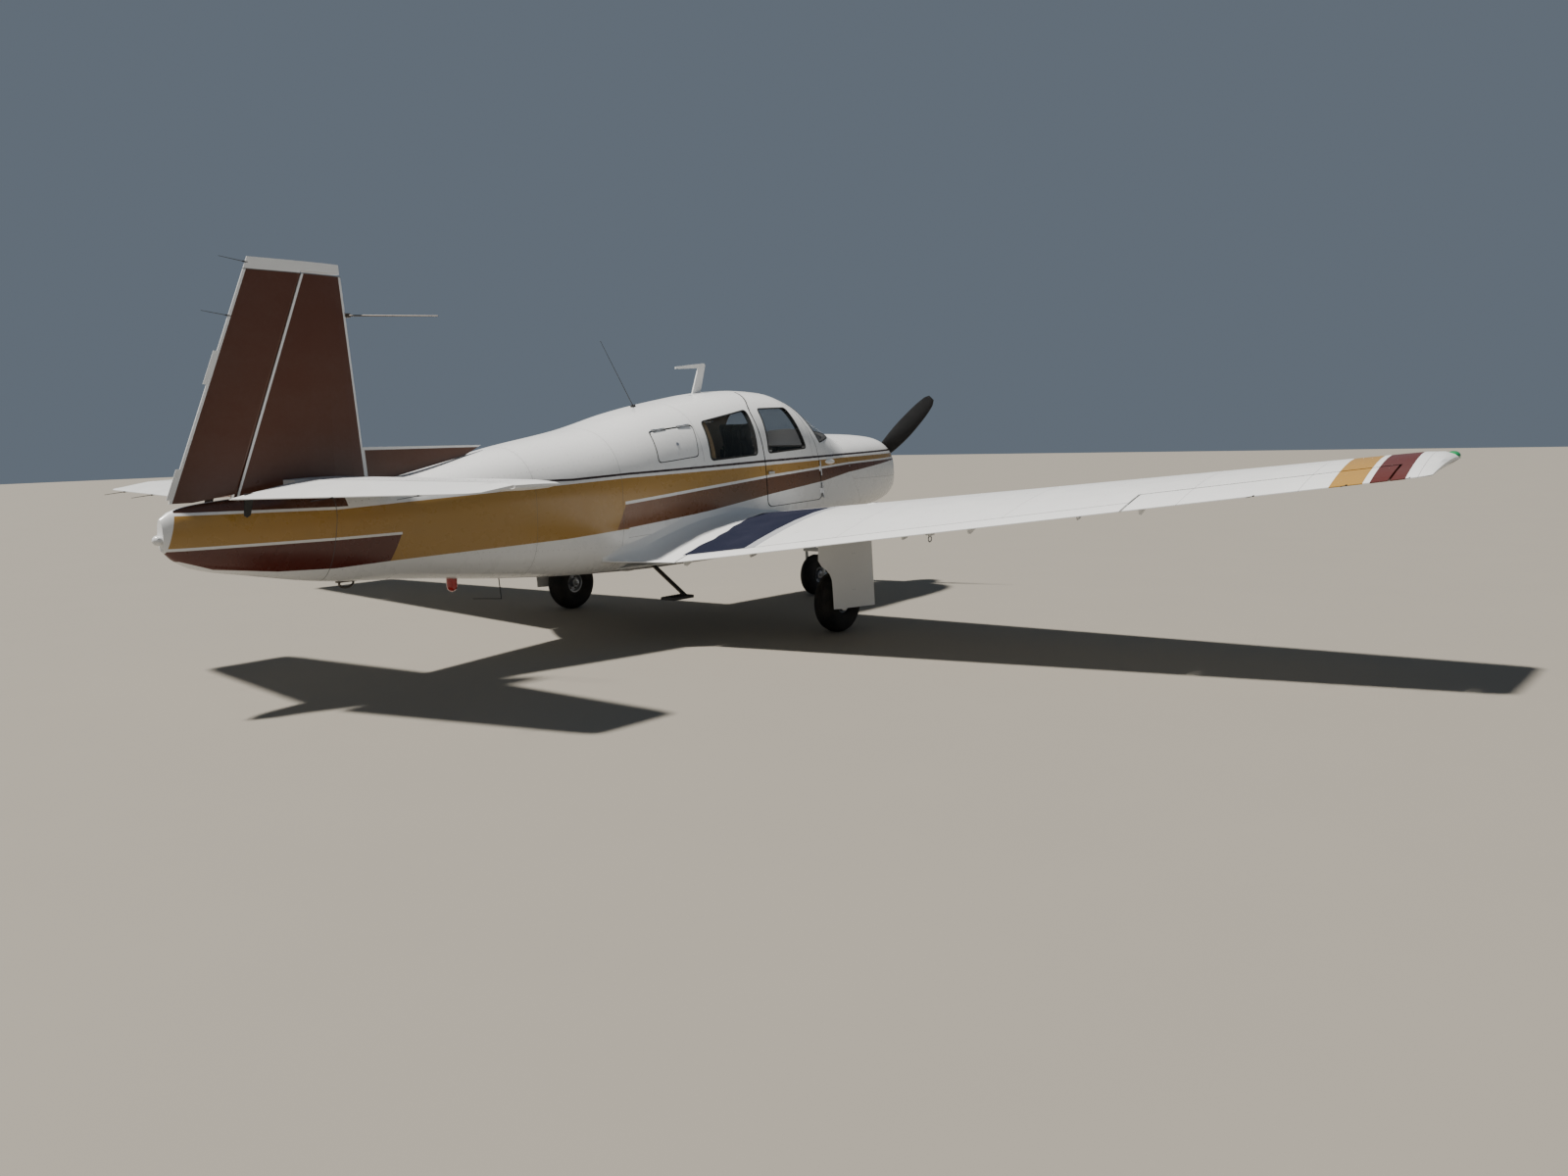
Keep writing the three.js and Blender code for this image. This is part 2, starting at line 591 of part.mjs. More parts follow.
// Fin, dorsal fillet and rudder
function finRing(z, grow = 0) {
  const share = (z - fin.baseZ) / (fin.topZ - fin.baseZ);
  const leX = fin.baseLeX + share * (fin.topLeX - fin.baseLeX);
  const chord = leX - (fin.baseTeX + share * (fin.topTeX - fin.baseTeX));
  return foilOutline(chord, fin.thickness, 0, grow, 10).map(([along, height]) => (
    new THREE.Vector3(leX - along * chord, height, z)));
}

const finWhole = loft([finRing(fin.baseZ), finRing(fin.capZ)]);
const finHollow = loft([[fin.baseZ, 0.64], [fin.topZ - 30, 0.38]].map(([z, to]) => {
  const share = (z - fin.baseZ) / (fin.topZ - fin.baseZ);
  const leX = fin.baseLeX + share * (fin.topLeX - fin.baseLeX);
  const chord = leX - fin.baseTeX - share * (fin.topTeX - fin.baseTeX);
  return foilHollow(chord, fin.thickness, 0.08, to).map(([along, height]) => (
    new THREE.Vector3(leX - along * chord, height, z)));
}));
const finBodyGrown = body(-1000, -3485, -seat);
const rudderArea = [rudderHinge.bottom, [-3600, 1103], [-3600, 2600], [-2450, 2600], rudderHinge.top];
const rudderNose = { bottom: 32, top: 25 };
const noseRod = (grow) => rod(onRudderAxis(-80), onRudderAxis(1400), rudderNose.bottom + grow,
  rudderNose.top + grow, 20);
const capCut = box(-4000, -2000, -200, 200, fin.topZ, 2600);

const dorsal = sidePrism([[-1340, 1414], [-2260, 1420], [-2260, 1150], [-1900, 1150]], -9, 9);
const finShape = largest(finWhole
  .subtract(finHollow)
  .subtract(sidePrism(rudderArea, -200, 200))
  .subtract(noseRod(runGap))
  .subtract(capCut)
  .subtract(finBodyGrown)
  .subtract(stabGrown)
  .add(dorsal.subtract(finBodyGrown).subtract(stabGrown)));
addPiece('fin', finShape, 'brown', 0.35);

const rudderFoot = sidePrism([[-3000, 1195], [-3600, 1107], [-3600, 1000], [-2900, 1000]], -200, 200);
const rudderCap = finWhole.intersect(box(-4000, -2318, -200, 200, fin.topZ + fin.capGap, fin.capZ));
const rudderBlade = finWhole.intersect(sidePrism(rudderArea, -200, 200).add(noseRod(0)))
  .subtract(rudderFoot)
  .subtract(box(-4000, -2560, -200, 200, fin.capZ, 2700))
  .subtract(box(-2560, -2000, -200, 200, 1000, fin.topZ + fin.capGap));
addPiece('rudder', largest(rudderBlade.add(rudderCap)
  .subtract(rod(onRudderAxis(-60), onRudderAxis(36), rudderBore))), 'brown', 0.35);

// Stabilizer and elevators
const stabHinge = (y) => {
  const share = Math.abs(y) / stab.halfSpan;
  const leX = stab.rootLeX + share * (stab.tipLeX - stab.rootLeX);
  const teX = stab.rootTeX + share * (stab.tipTeX - stab.rootTeX);
  const x = stab.rootHingeX + share * (stab.tipHingeX - stab.rootHingeX);
  const chordShare = (leX - x) / (leX - teX);
  return { point: [x, y, stab.z], half: foilHalf(chordShare, stab.thickness) * (leX - teX) + 1 };
};

const stabWhole = stabSolid();
const elevatorPin = 7;
const elevatorBore = 7.6;
const elevatorSides = [-1, 1].map((side) => {
  const inner = stabHinge(side * stab.elevatorInner);
  const outer = stabHinge(side * stab.halfSpan);
  const along = (distance) => new THREE.Vector3(...inner.point)
    .addScaledVector(directionFrom(inner.point, outer.point), distance)
    .toArray();
  const bay = surfaceRegion(inner, outer, side * (stab.elevatorInner - endGap), side * 1900, runGap);
  const region = surfaceRegion(inner, outer, side * stab.elevatorInner, side * 1900, 0);
  return { side, inner, outer, along, bay, region };
});

const stabHollows = [-1, 1].map((side) => stabHollow(0, side * 1600, 0.08, 0.36))
  .concat(box(-2480, -2400, -60, 60, 1120, stab.z));
addPiece('stabilizer', union([
  largest(elevatorSides.reduce((shape, { bay }) => shape.subtract(bay), stabWhole)
    .subtract(stabCentreAft)
    .subtract(union(stabHollows))),
  ...elevatorSides.map(({ along }) => rod(along(-40), along(30), elevatorPin)),
]), 'white', 0.35);

function turnAbout(shape, point, axis, degrees) {
  const mesh = shape.getMesh();
  const geometry = new THREE.BufferGeometry();
  geometry.setAttribute('position', new THREE.BufferAttribute(mesh.vertProperties, 3));
  geometry.setIndex(new THREE.BufferAttribute(mesh.triVerts, 1));
  geometry.translate(...point.map((v) => -v));
  const turn = new THREE.Quaternion().setFromAxisAngle(axis, THREE.MathUtils.degToRad(degrees));
  geometry.applyQuaternion(turn);
  geometry.translate(...point);
  return solid(geometry);
}

elevatorSides.forEach(({ side, inner, outer, along, region }) => {
  const axis = directionFrom(inner.point, outer.point);
  const surface = largest(stabWhole.intersect(region)
    .subtract(rod(along(-20), along(36), elevatorBore))
    .subtract(stabHollow(side * 208, side * 1600, 0.53, 0.86)));
  const name = side > 0 ? 'elevator_left' : 'elevator_right';
  addPiece(name, turnAbout(surface, inner.point, axis, -side * stab.droop), 'white', 0.35);
});

// Wing with its flaps and ailerons
const wingWhole = wingSolid();
const surfacePin = 7;
const surfaceBore = 7.6;

function wingSurface(side, spec) {
  const inner = wingHinge(side * spec.inner, spec.innerChord);
  const outer = wingHinge(side * spec.outer, spec.outerChord);
  const line = new THREE.Vector3(...outer.point).sub(new THREE.Vector3(...inner.point));
  const along = (share, shift = 0) => new THREE.Vector3(...inner.point).addScaledVector(line, share)
    .addScaledVector(line.clone().normalize(), shift).toArray();
  return {
    side,
    along,
    bay: surfaceRegion(inner, outer, side * (spec.inner - endGap), side * (spec.outer + endGap), runGap),
    region: surfaceRegion(inner, outer, side * spec.inner, side * spec.outer, -spec.noseTrim),
  };
}

const flaps = [-1, 1].map((side) => wingSurface(side, flap));
const ailerons = [-1, 1].map((side) => wingSurface(side, aileron));

// Flap hinge brackets, as plates square to the flap's axis, which lies just under the skin
const flapBrackets = [0.12, 0.5, 0.88];
const bracket = { thick: 7, play: 0.4, boss: 13, forward: 120, below: 12 };

function flapAxisAt(side, share) {
  const y = side * (flap.inner + share * (flap.outer - flap.inner));
  const chordAft = flap.innerChord + share * (flap.outerChord - flap.innerChord);
  const { point, half } = wingHinge(y, chordAft);
  return [point[0], point[1], point[2] - half - bracket.below];
}

function flapPlate(side, share, offset, outline) {
  const at = new THREE.Vector3(...flapAxisAt(side, share));
  const axis = directionFrom(flapAxisAt(side, 0), flapAxisAt(side, 1));
  const forward = new THREE.Vector3(1, 0, 0).addScaledVector(axis, -axis.x).normalize();
  const up = new THREE.Vector3().crossVectors(forward, axis).multiplyScalar(side).normalize();
  const ring = (shift) => outline.map(([f, u]) => at.clone().addScaledVector(axis, shift)
    .addScaledVector(forward, f).addScaledVector(up, u));
  return loft([ring(offset), ring(offset + bracket.thick)]);
}

const arc = (from, to, radius, steps) => Array.from({ length: steps + 1 }, (_, i) => {
  const angle = THREE.MathUtils.degToRad(from + (to - from) * i / steps);
  return [radius * Math.cos(angle), radius * Math.sin(angle)];
});
const wingArm = [...arc(135, 270, bracket.boss, 5), [60, -4], [150, 34], [150, 60], [40, 60]];
const flapArm = [...arc(200, 340, bracket.boss, 5), [20, 18], [10, 60], [-60, 60]];

const wingPlates = [-1, 1].flatMap((side) => flapBrackets.map((share) => (
  flapPlate(side, share, 0, wingArm))));

const legBays = [-1, 1].map((side) => {
  const well = rod([mainWheel.x, side * 950, 400], [mainWheel.x, side * 950, 745], 245, 245, 20);
  const slot = box(mainWheel.x - 70, mainWheel.x + 70, Math.min(side * 950, side * 1560),
    Math.max(side * 950, side * 1560), 400, 765);
  return well.add(slot);
});
const pads = [-1, 1].map((side) => {
  const { teZ, teX, chord } = wingAt(2200);
  const under = teZ + (650 - teX) * wingTilt(2200) - foilHalf(0.36, 0.14) * chord;
  return rod([650, side * 2200, under - 2], [650, side * 2200, under + 70], 32, 32, 12);
});

// Where the wing's top skin hangs over a flap
const loweredWing = (drop) => wingWhole.translate([0, 0, -drop]);

function overFlap(side, room, endRoom) {
  const stations = [[flap.inner - endRoom, flap.innerChord, shroud.innerAft],
    [flap.outer + endRoom, flap.outerChord, shroud.outerAft]];
  return loft(stations.map(([y, chordAft, aft]) => {
    const { teX, teZ } = wingAt(y);
    const low = teZ - 100;
    const high = teZ + 300;
    const back = teX + aft - room;
    const front = teX + chordAft + shroud.ahead;
    return [[back, low], [front, low], [front, high], [back, high]]
      .map(([x, z]) => new THREE.Vector3(x, side * y, z));
  }));
}

const flapBays = flaps.map(({ side, bay }) => bay
  .subtract(overFlap(side, 0, 0).subtract(loweredWing(shroud.thick))));
const wingRoom = wingSolid(runGap);
const wingBays = [...flapBays, ...ailerons.map(({ bay }) => bay), ...legBays];
addPiece('wing', union([
  largest(wingBays.reduce((shape, bay) => shape.subtract(bay.intersect(wingRoom)),
    wingWhole.add(union(wingPlates)))),
  ...pads,
  ...ailerons.map(({ along }) => rod(along(1, -30), along(1, 60), surfacePin)),
]), 'white', 0.35);

flaps.forEach(({ side, region }) => {
  const plates = flapBrackets.map((share) => (
    flapPlate(side, share, bracket.thick + bracket.play, flapArm)));
  const underShroud = overFlap(side, shroud.room, endGap).subtract(loweredWing(shroud.thick + shroud.room));
  addPiece(side > 0 ? 'flap_left' : 'flap_right', largest(wingWhole.add(union(plates))
    .subtract(wingSolid(seat).subtract(region))
    .subtract(underShroud)), 'white', 0.35);
});

ailerons.forEach(({ side, region, along }) => {
  const bore = rod(along(1, -36), along(1, 60), surfaceBore);
  addPiece(side > 0 ? 'aileron_left' : 'aileron_right', largest(wingWhole.intersect(region).subtract(bore)),
    'white', 0.35);
});

// Fairings between the body's side and the wing's top, which end in a point behind the wing
const fairing = { dip: 0.1, inboard: 50, below: 2.5, aftRise: 0.08, aftY: 810 };
const fairingRows = [
  // x, outer edge from the centre plane, height where it meets the body, depth below the outer edge
  [1250, 600, 802, 20],
  [1100, 625, 846, 20],
  [930, 648, 858, 20],
  [800, 660, 880, 20],
  [600, 690, 902, 20],
  [400, 745, 905, 20],
  [200, 800, 890, 20],
  [30, 826, 862, 20],
  [-60, 810, 842, 20],
  [-200, 810, 805, 20],
  [-400, 810, 745, 4],
  [-550, 616, 700, 6],
  [-690, 415, 640, 6],
];

function wingTopZ(x, y) {
  const { leX, teX, teZ, chord, thickness } = wingAt(y);
  const share = (leX - x) / chord;
  const height = foilCamber(share, wing.camber) + foilHalf(share, thickness);
  return teZ + (x - teX) * wingTilt(y) + height * chord;
}

// Outer edge height: on the wing's top, or behind the wing on a line that rises to the body
function fairingEdgeZ(x, y) {
  const { teX, teZ } = wingAt(fairing.aftY);
  return x > teX ? wingTopZ(x, y) : teZ + (teX - x) * fairing.aftRise;
}

[-1, 1].forEach((side) => {
  const rings = fairingRows.map(([x, outer, meets, depth]) => {
    const edgeZ = fairingEdgeZ(x, outer);
    const bodyY = skinY(x, meets);
    const dipZ = edgeZ + fairing.dip * (meets - edgeZ);
    const curve = [0, 0.25, 0.5, 0.75, 1].map((t) => [
      outer * (1 - t) ** 2 + bodyY * 2 * t * (1 - t) + bodyY * t ** 2,
      edgeZ * (1 - t) ** 2 + dipZ * 2 * t * (1 - t) + meets * t ** 2,
    ]);
    const innerY = bodyY - fairing.inboard;
    const inside = [[innerY, meets], [innerY, edgeZ - fairing.below * depth], [outer, edgeZ - depth]];
    return [...curve, ...inside].map(([y, z]) => new THREE.Vector3(x, side * y, z));
  });
  const name = side > 0 ? 'wing_fairing_left' : 'wing_fairing_right';
  addPiece(name, bodyCut(largest(loft(rings).subtract(wingGrown))), 'white', 0.35);
});

// Propeller and spinner
const bladeRows = [
  // radius, chord, thickness, pitch in degrees
  [48, 60, 56, 52],
  [165, 96, 44, 46],
  [320, 148, 26, 36],
  [520, 166, 18, 27],
  [740, 148, 13, 20],
  [890, 108, 9, 17],
  [940, 58, 6, 16],
];

function blade(angle) {
  const turn = THREE.MathUtils.degToRad(angle);
  const out = new THREE.Vector3(0, -Math.cos(turn), Math.sin(turn));
  const nose = new THREE.Vector3(1, 0, 0);
  const sweep = new THREE.Vector3().crossVectors(nose, out);
  return loft(bladeRows.map(([radius, chord, thickness, pitch]) => {
    const angleHere = THREE.MathUtils.degToRad(pitch);
    const toLeading = sweep.clone().multiplyScalar(Math.cos(angleHere))
      .addScaledVector(nose, Math.sin(angleHere));
    const toFace = new THREE.Vector3().crossVectors(out, toLeading);
    return Array.from({ length: 12 }, (_, i) => {
      const t = 2 * Math.PI * i / 12;
      return new THREE.Vector3(propeller.x, 0, propeller.z)
        .addScaledVector(out, radius)
        .addScaledVector(toLeading, Math.cos(t) * chord / 2 + chord * 0.05)
        .addScaledVector(toFace, Math.sin(t) * thickness / 2 * (1 + 0.35 * Math.cos(t)));
    });
  }));
}

const bladeAngles = [propeller.angle, propeller.angle + 180];
const hubBore = rod([3100, 0, propeller.z], [3400, 0, propeller.z], propeller.bore, propeller.bore, 18);
addPiece('propeller', union([
  rod([3205, 0, propeller.z], [3340, 0, propeller.z], propeller.hub, propeller.hub, 18),
  ...bladeAngles.map(blade),
]).subtract(hubBore), 'black', 0.45);

function spinnerBody(inset) {
  const length = spinner.tip - spinner.base - inset;
  const steps = 5;
  const profile = Array.from({ length: steps + 1 }, (_, i) => {
    const share = i / steps;
    return new THREE.Vector2((spinner.radius - inset) * Math.sqrt(1 - share ** 1.7), length * share);
  });
  const geometry = new THREE.LatheGeometry([new THREE.Vector2(0, 0), ...profile], 20);
  geometry.rotateZ(-Math.PI / 2);
  geometry.translate(spinner.base, 0, propeller.z);
  return solid(geometry);
}

const bladeHoles = bladeAngles.map((angle) => {
  const turn = THREE.MathUtils.degToRad(angle);
  const at = (radius) => [propeller.x, -radius * Math.cos(turn), propeller.z + radius * Math.sin(turn)];
  return rod(at(80), at(240), 62, 62, 12);
});
const spinnerPlate = rod([spinner.base, 0, propeller.z], [spinner.base + 6, 0, propeller.z],
  spinner.radius - 1, spinner.radius - 1, 20);
addPiece('spinner', spinnerBody(0).subtract(spinnerBody(5)).add(spinnerPlate)
  .subtract(rod([3100, 0, propeller.z], [3300, 0, propeller.z], propeller.hub + 0.6, propeller.hub + 0.6, 18))
  .subtract(union(bladeHoles)), 'white', 0.3);

// Wheels: closed profiles as [radius, distance from the wheel's middle]
function turned(profile, at, segments = 24) {
  const closed = [...profile, profile[0]].reverse()
    .map(([radius, across]) => new THREE.Vector2(radius, across));
  const geometry = new THREE.LatheGeometry(closed, segments);
  geometry.translate(...at);
  return solid(geometry);
}

function mirrored(half) {
  return [...half, ...half.slice().reverse().map(([radius, across]) => [radius, -across])];
}

function tyre({ radius, width, rim }, at) {
  const side = width / 2;
  return turned(mirrored([
    [rim + 0.5, side * 0.62],
    [rim + 14, side * 0.84],
    [(radius + rim) / 2, side],
    [radius * 0.86, side * 0.93],
    [radius * 0.95, side * 0.7],
    [radius, side * 0.3],
  ]), at);
}

function wheelRim({ width, rim, bore }, at) {
  const side = width / 2;
  return turned(mirrored([
    [bore, side * 0.78],
    [bore + 22, side * 0.78],
    [bore + 24, side * 0.2],
    [rim - 12, side * 0.2],
    [rim, side * 0.6],
  ]), at);
}

const wheelPlaces = [
  ['nose', noseWheel, [noseWheel.x, 0, noseWheel.z]],
  ['left', mainWheel, [mainWheel.x, mainWheel.y, mainWheel.z]],
  ['right', mainWheel, [mainWheel.x, -mainWheel.y, mainWheel.z]],
];
wheelPlaces.forEach(([name, spec, at]) => {
  addPiece(`tyre_${name}`, tyre(spec, at), 'rubber', 0.9);
  addPiece(`wheel_${name}`, wheelRim(spec, at), 'aluminium', 0.4, 0.7);
});

// Nose leg, with its steered fork
const steer = { top: [2298, 0, 770], bottom: [2372, 0, 415], split: 0.62 };
const onSteer = (share, shift = 0) => {
  const start = new THREE.Vector3(...steer.top);
  const line = new THREE.Vector3(...steer.bottom).sub(start);
  return start.addScaledVector(line, share).addScaledVector(line.clone().normalize(), shift).toArray();
};
const trunnion = { half: 146, radius: 15 };
const legBrackets = [-1, 1].map((side) => box(2275, 2317,
  Math.min(side * 116, side * 128), Math.max(side * 116, side * 128), 770, wellRoof - seat));
addPiece('nose_leg', union([
  rod(onSteer(-0.02), onSteer(steer.split), 27, 27, 14),
  rod([steer.top[0], -trunnion.half, steer.top[2]], [steer.top[0], trunnion.half, steer.top[2]],
    trunnion.radius),
  ...[-1, 1].map((side) => rod([steer.top[0], side * 120, steer.top[2]], onSteer(0.5), 9, 9, 8)),
  ...legBrackets,
]), 'white', 0.4);

const forkArmY = 86;
addPiece('nose_fork', union([
  rod(onSteer(steer.split, 0.4), onSteer(1), 23, 23, 14),
  box(2342, 2412, -forkArmY - 9, forkArmY + 9, 392, 420),
  ...[-1, 1].flatMap((side) => [
    rod([2377, side * forkArmY, 405], [noseWheel.x, side * forkArmY, noseWheel.z], 13, 17, 10),
    rod([noseWheel.x, side * (forkArmY - 16), noseWheel.z],
      [noseWheel.x, side * (forkArmY + 22), noseWheel.z], 18, 18, 14),
  ]),
  rod([noseWheel.x, -100, noseWheel.z], [noseWheel.x, 100, noseWheel.z], noseWheel.axle, noseWheel.axle, 20),
]), 'white', 0.4);

[-1, 1].forEach((side) => {
  const panel = sidePrism([[1880, 520], [2180, 500], [2196, 760], [1860, 760]],
    Math.min(side * 152, side * 157), Math.max(side * 152, side * 157));
  addPiece(side > 0 ? 'nose_door_left' : 'nose_door_right',
    largest(panel.subtract(body(2400, 1500, -seat))), 'white', 0.4);
});

// Main legs with their axles, shock packs and doors
const leg = { y: 1492, top: 722, radius: 26, axleEndY: 1314 };
const legDoor = [[468, 200], [992, 170], [962, 655], [290, 665], [288, 560], [324, 519], [380, 488],
  [425, 450], [450, 405], [458, 326]];
[-1, 1].forEach((side) => {
  const y = side * leg.y;
  const name = side > 0 ? 'left' : 'right';
  const doorInner = side * 1522;
  const doorOuter = side * 1526;
  addPiece(`main_leg_${name}`, union([
    rod([mainWheel.x, y, leg.top], [mainWheel.x, y, mainWheel.z - 20], leg.radius, leg.radius, 14),
    rod([mainWheel.x - 70 + seat, y, leg.top], [mainWheel.x + 70 - seat, y, leg.top], 14, 14, 10),
    rod([mainWheel.x, y, mainWheel.z], [mainWheel.x, side * leg.axleEndY, mainWheel.z], mainWheel.axle,
      mainWheel.axle, 20),
    rod([mainWheel.x, side * 1500, 500], [mainWheel.x, side * 1200, 735], 11, 11, 10),
    rod([mainWheel.x, y, 360], [mainWheel.x + 82, y, 420], 14, 14, 12),
    rod([mainWheel.x + 78, y, 410], [mainWheel.x + 60, y, 640], 30, 30, 12),
    rod([mainWheel.x + 60, y, 636], [mainWheel.x + 10, y, 700], 14, 14, 12),
    ...[300, 560].map((z) => box(mainWheel.x - 20, mainWheel.x + 20,
      Math.min(side * 1500, doorInner - side * seat), Math.max(side * 1500, doorInner - side * seat),
      z, z + 30)),
  ]), 'white', 0.4);
  const doorPanel = sidePrism(legDoor, Math.min(doorInner, doorOuter), Math.max(doorInner, doorOuter));
  addPiece(`leg_door_${name}`, largest(doorPanel.subtract(wingGrown)), 'white', 0.4);
});

// Cabin fittings
const panelFace = body(1790, 1750, wall + seat).intersect(box(1750, 1790, -700, 700, 1080, 1344));
const panelHood = body(1990, 1735, wall + seat).intersect(box(1735, 1990, -700, 700, 1330, 1344));
addPiece('instrument_panel', panelFace.add(panelHood), 'panel', 0.7);

[-1, 1].forEach((side) => {
  const span = (a, b) => [Math.min(side * a, side * b), Math.max(side * a, side * b)];
  const name = side > 0 ? 'left' : 'right';
  addPiece(`seat_${name}`, union([
    box(1100, 1460, ...span(110, 470), floorZ + seat, 980),
    sidePrism([[1060, 960], [1530, 980], [1520, 1110], [1060, 1080]], ...span(70, 500), 30),
    sidePrism([[1035, 1010], [1140, 1010], [1030, 1560], [930, 1555]], ...span(95, 415), 30),
  ]), 'leather', 0.7);
  addPiece(`yoke_${name}`, union([
    rod([1749.6, side * 285, 1215], [1620, side * 285, 1215], 11, 11, 12),
    box(1605, 1630, ...span(165, 405), 1203, 1227),
    box(1600, 1630, ...span(160, 186), 1203, 1320),
    box(1600, 1630, ...span(384, 410), 1203, 1320),
  ]), 'black', 0.5);
});

addPiece('rear_bench', union([
  box(340, 700, -440, 440, floorZ + seat, 940),
  sidePrism([[290, 920], [780, 935], [770, 1065], [290, 1030]], -485, 485, 30),
  sidePrism([[270, 980], [385, 980], [270, 1430], [170, 1425]], -420, 420, 30),
]), 'leather', 0.7);

// Step, aerials and lights
addPiece('boarding_step', bodyCut(union([
  rod([-150, -360, 545], [-175, -700, 330], 15, 15, 12),
  box(-360, -150, -760, -640, 315, 335),
]).subtract(wingGrown)), 'aluminium', 0.5, 0.8);

const aerialOutline = [[770, 1740], [868, 1740], [948, 1992], [932, 2003], [598, 1968], [598, 1952],
  [862, 1964]];
addPiece('comm_aerial', bodyCut(sidePrism(aerialOutline, -5, 5)), 'white', 0.4);
addPiece('roof_whip', bodyCut(rod([120, 0, 1640], [110, 0, 1676], 20, 20, 12)
  .add(rod([112, 0, 1670], [-200, 0, 2130], 3, 1.6, 8))), 'black', 0.5);
addPiece('belly_aerial', bodyCut(union([
  rod([-1250, 0, 600], [-1230, 0, 390], 4, 3, 8),
  rod([-1230, 0, 391], [-1465, 0, 419], 3, 2, 8),
])), 'black', 0.5);
const beaconBase = rod([-1630, 0, 640], [-1630, 0, 515], 36, 34, 14);
addPiece('beacon', bodyCut(beaconBase.add(ball(-1630, 0, 515, 33, 12))), 'red', 0.2);
addPiece('tail_light', ball(-3502, 0, 965, 28).subtract(body(-3300, -3485, -seat)), 'glass', 0.1);

const finLeAt = (z) => finRing(z).reduce((best, p) => Math.max(best, p.x), -Infinity);
const navZ = 2187;
addPiece('nav_aerial', union([
  box(finLeAt(navZ) + 1, finLeAt(navZ) + 26, -14, 14, navZ - 12, navZ + 12),
  ...[-1, 1].map((side) => rod([finLeAt(navZ) + 14, 0, navZ], [-2095, side * 600, 2150], 5, 3, 8)),
]), 'steel', 0.4, 0.9);

export default aircraft;
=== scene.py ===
# Light aircraft: its looks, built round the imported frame. Metres, +X nose, +Y left wing, +Z up.
from math import copysign, cos, exp, pi, radians, sin, sqrt, tan

import bmesh
import bpy
from mathutils import Matrix, Vector
from mathutils.bvhtree import BVHTree


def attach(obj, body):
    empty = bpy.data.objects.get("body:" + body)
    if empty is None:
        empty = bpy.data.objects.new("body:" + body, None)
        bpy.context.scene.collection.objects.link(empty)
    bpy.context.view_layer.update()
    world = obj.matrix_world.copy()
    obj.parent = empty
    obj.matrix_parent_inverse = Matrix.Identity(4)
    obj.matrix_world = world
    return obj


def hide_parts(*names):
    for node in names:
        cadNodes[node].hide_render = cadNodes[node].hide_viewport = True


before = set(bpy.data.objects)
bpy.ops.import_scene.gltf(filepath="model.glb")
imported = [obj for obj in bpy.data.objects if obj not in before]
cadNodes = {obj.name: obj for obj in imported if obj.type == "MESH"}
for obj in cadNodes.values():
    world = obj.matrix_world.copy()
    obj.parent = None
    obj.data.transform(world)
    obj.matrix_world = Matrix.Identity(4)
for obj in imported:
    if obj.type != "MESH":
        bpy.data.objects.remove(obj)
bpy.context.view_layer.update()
collection = bpy.context.scene.collection
hands = ((1, "Left"), (-1, "Right"))
print("stage: frame loaded,", len(cadNodes), "nodes")


def turns(count):
    # The angles of a full turn in equal steps
    return [2 * pi * k / count for k in range(count)]


def between(start, end, share):
    return tuple(a + share * (b - a) for a, b in zip(start, end))


def mirrored(side, *ys):
    # Places on the left wing's side, in rising order on either side
    return sorted(side * y for y in ys)


# Shader wires: one socket of a finish, with plain arithmetic on it
class Wire:
    def __init__(self, finish, socket):
        self.finish = finish
        self.socket = socket

    def maths(self, operation, *others, clamp=False):
        settings = {"operation": operation, "use_clamp": clamp}
        return self.finish.node("ShaderNodeMath", settings, dict(enumerate((self,) + others)))

    def __add__(self, other):
        return self.maths("ADD", other)

    def __sub__(self, other):
        return self.maths("SUBTRACT", other)

    def __rsub__(self, other):
        return self.finish.node("ShaderNodeMath", {"operation": "SUBTRACT"}, {0: other, 1: self})

    def __mul__(self, other):
        return self.maths("MULTIPLY", other)

    def __truediv__(self, other):
        return self.maths("DIVIDE", other)

    def __abs__(self):
        return self.maths("ABSOLUTE")

    def least(self, other):
        return self.maths("MINIMUM", other)

    def most(self, other):
        return self.maths("MAXIMUM", other)

    def above(self, limit, soft=0.0012):
        return ((self - limit) / soft).maths("ADD", 0.5, clamp=True)

    def below(self, limit, soft=0.0012):
        return ((limit - self) / soft).maths("ADD", 0.5, clamp=True)

    def between(self, low, high, soft=0.0012):
        return self.above(low, soft) * self.below(high, soft)


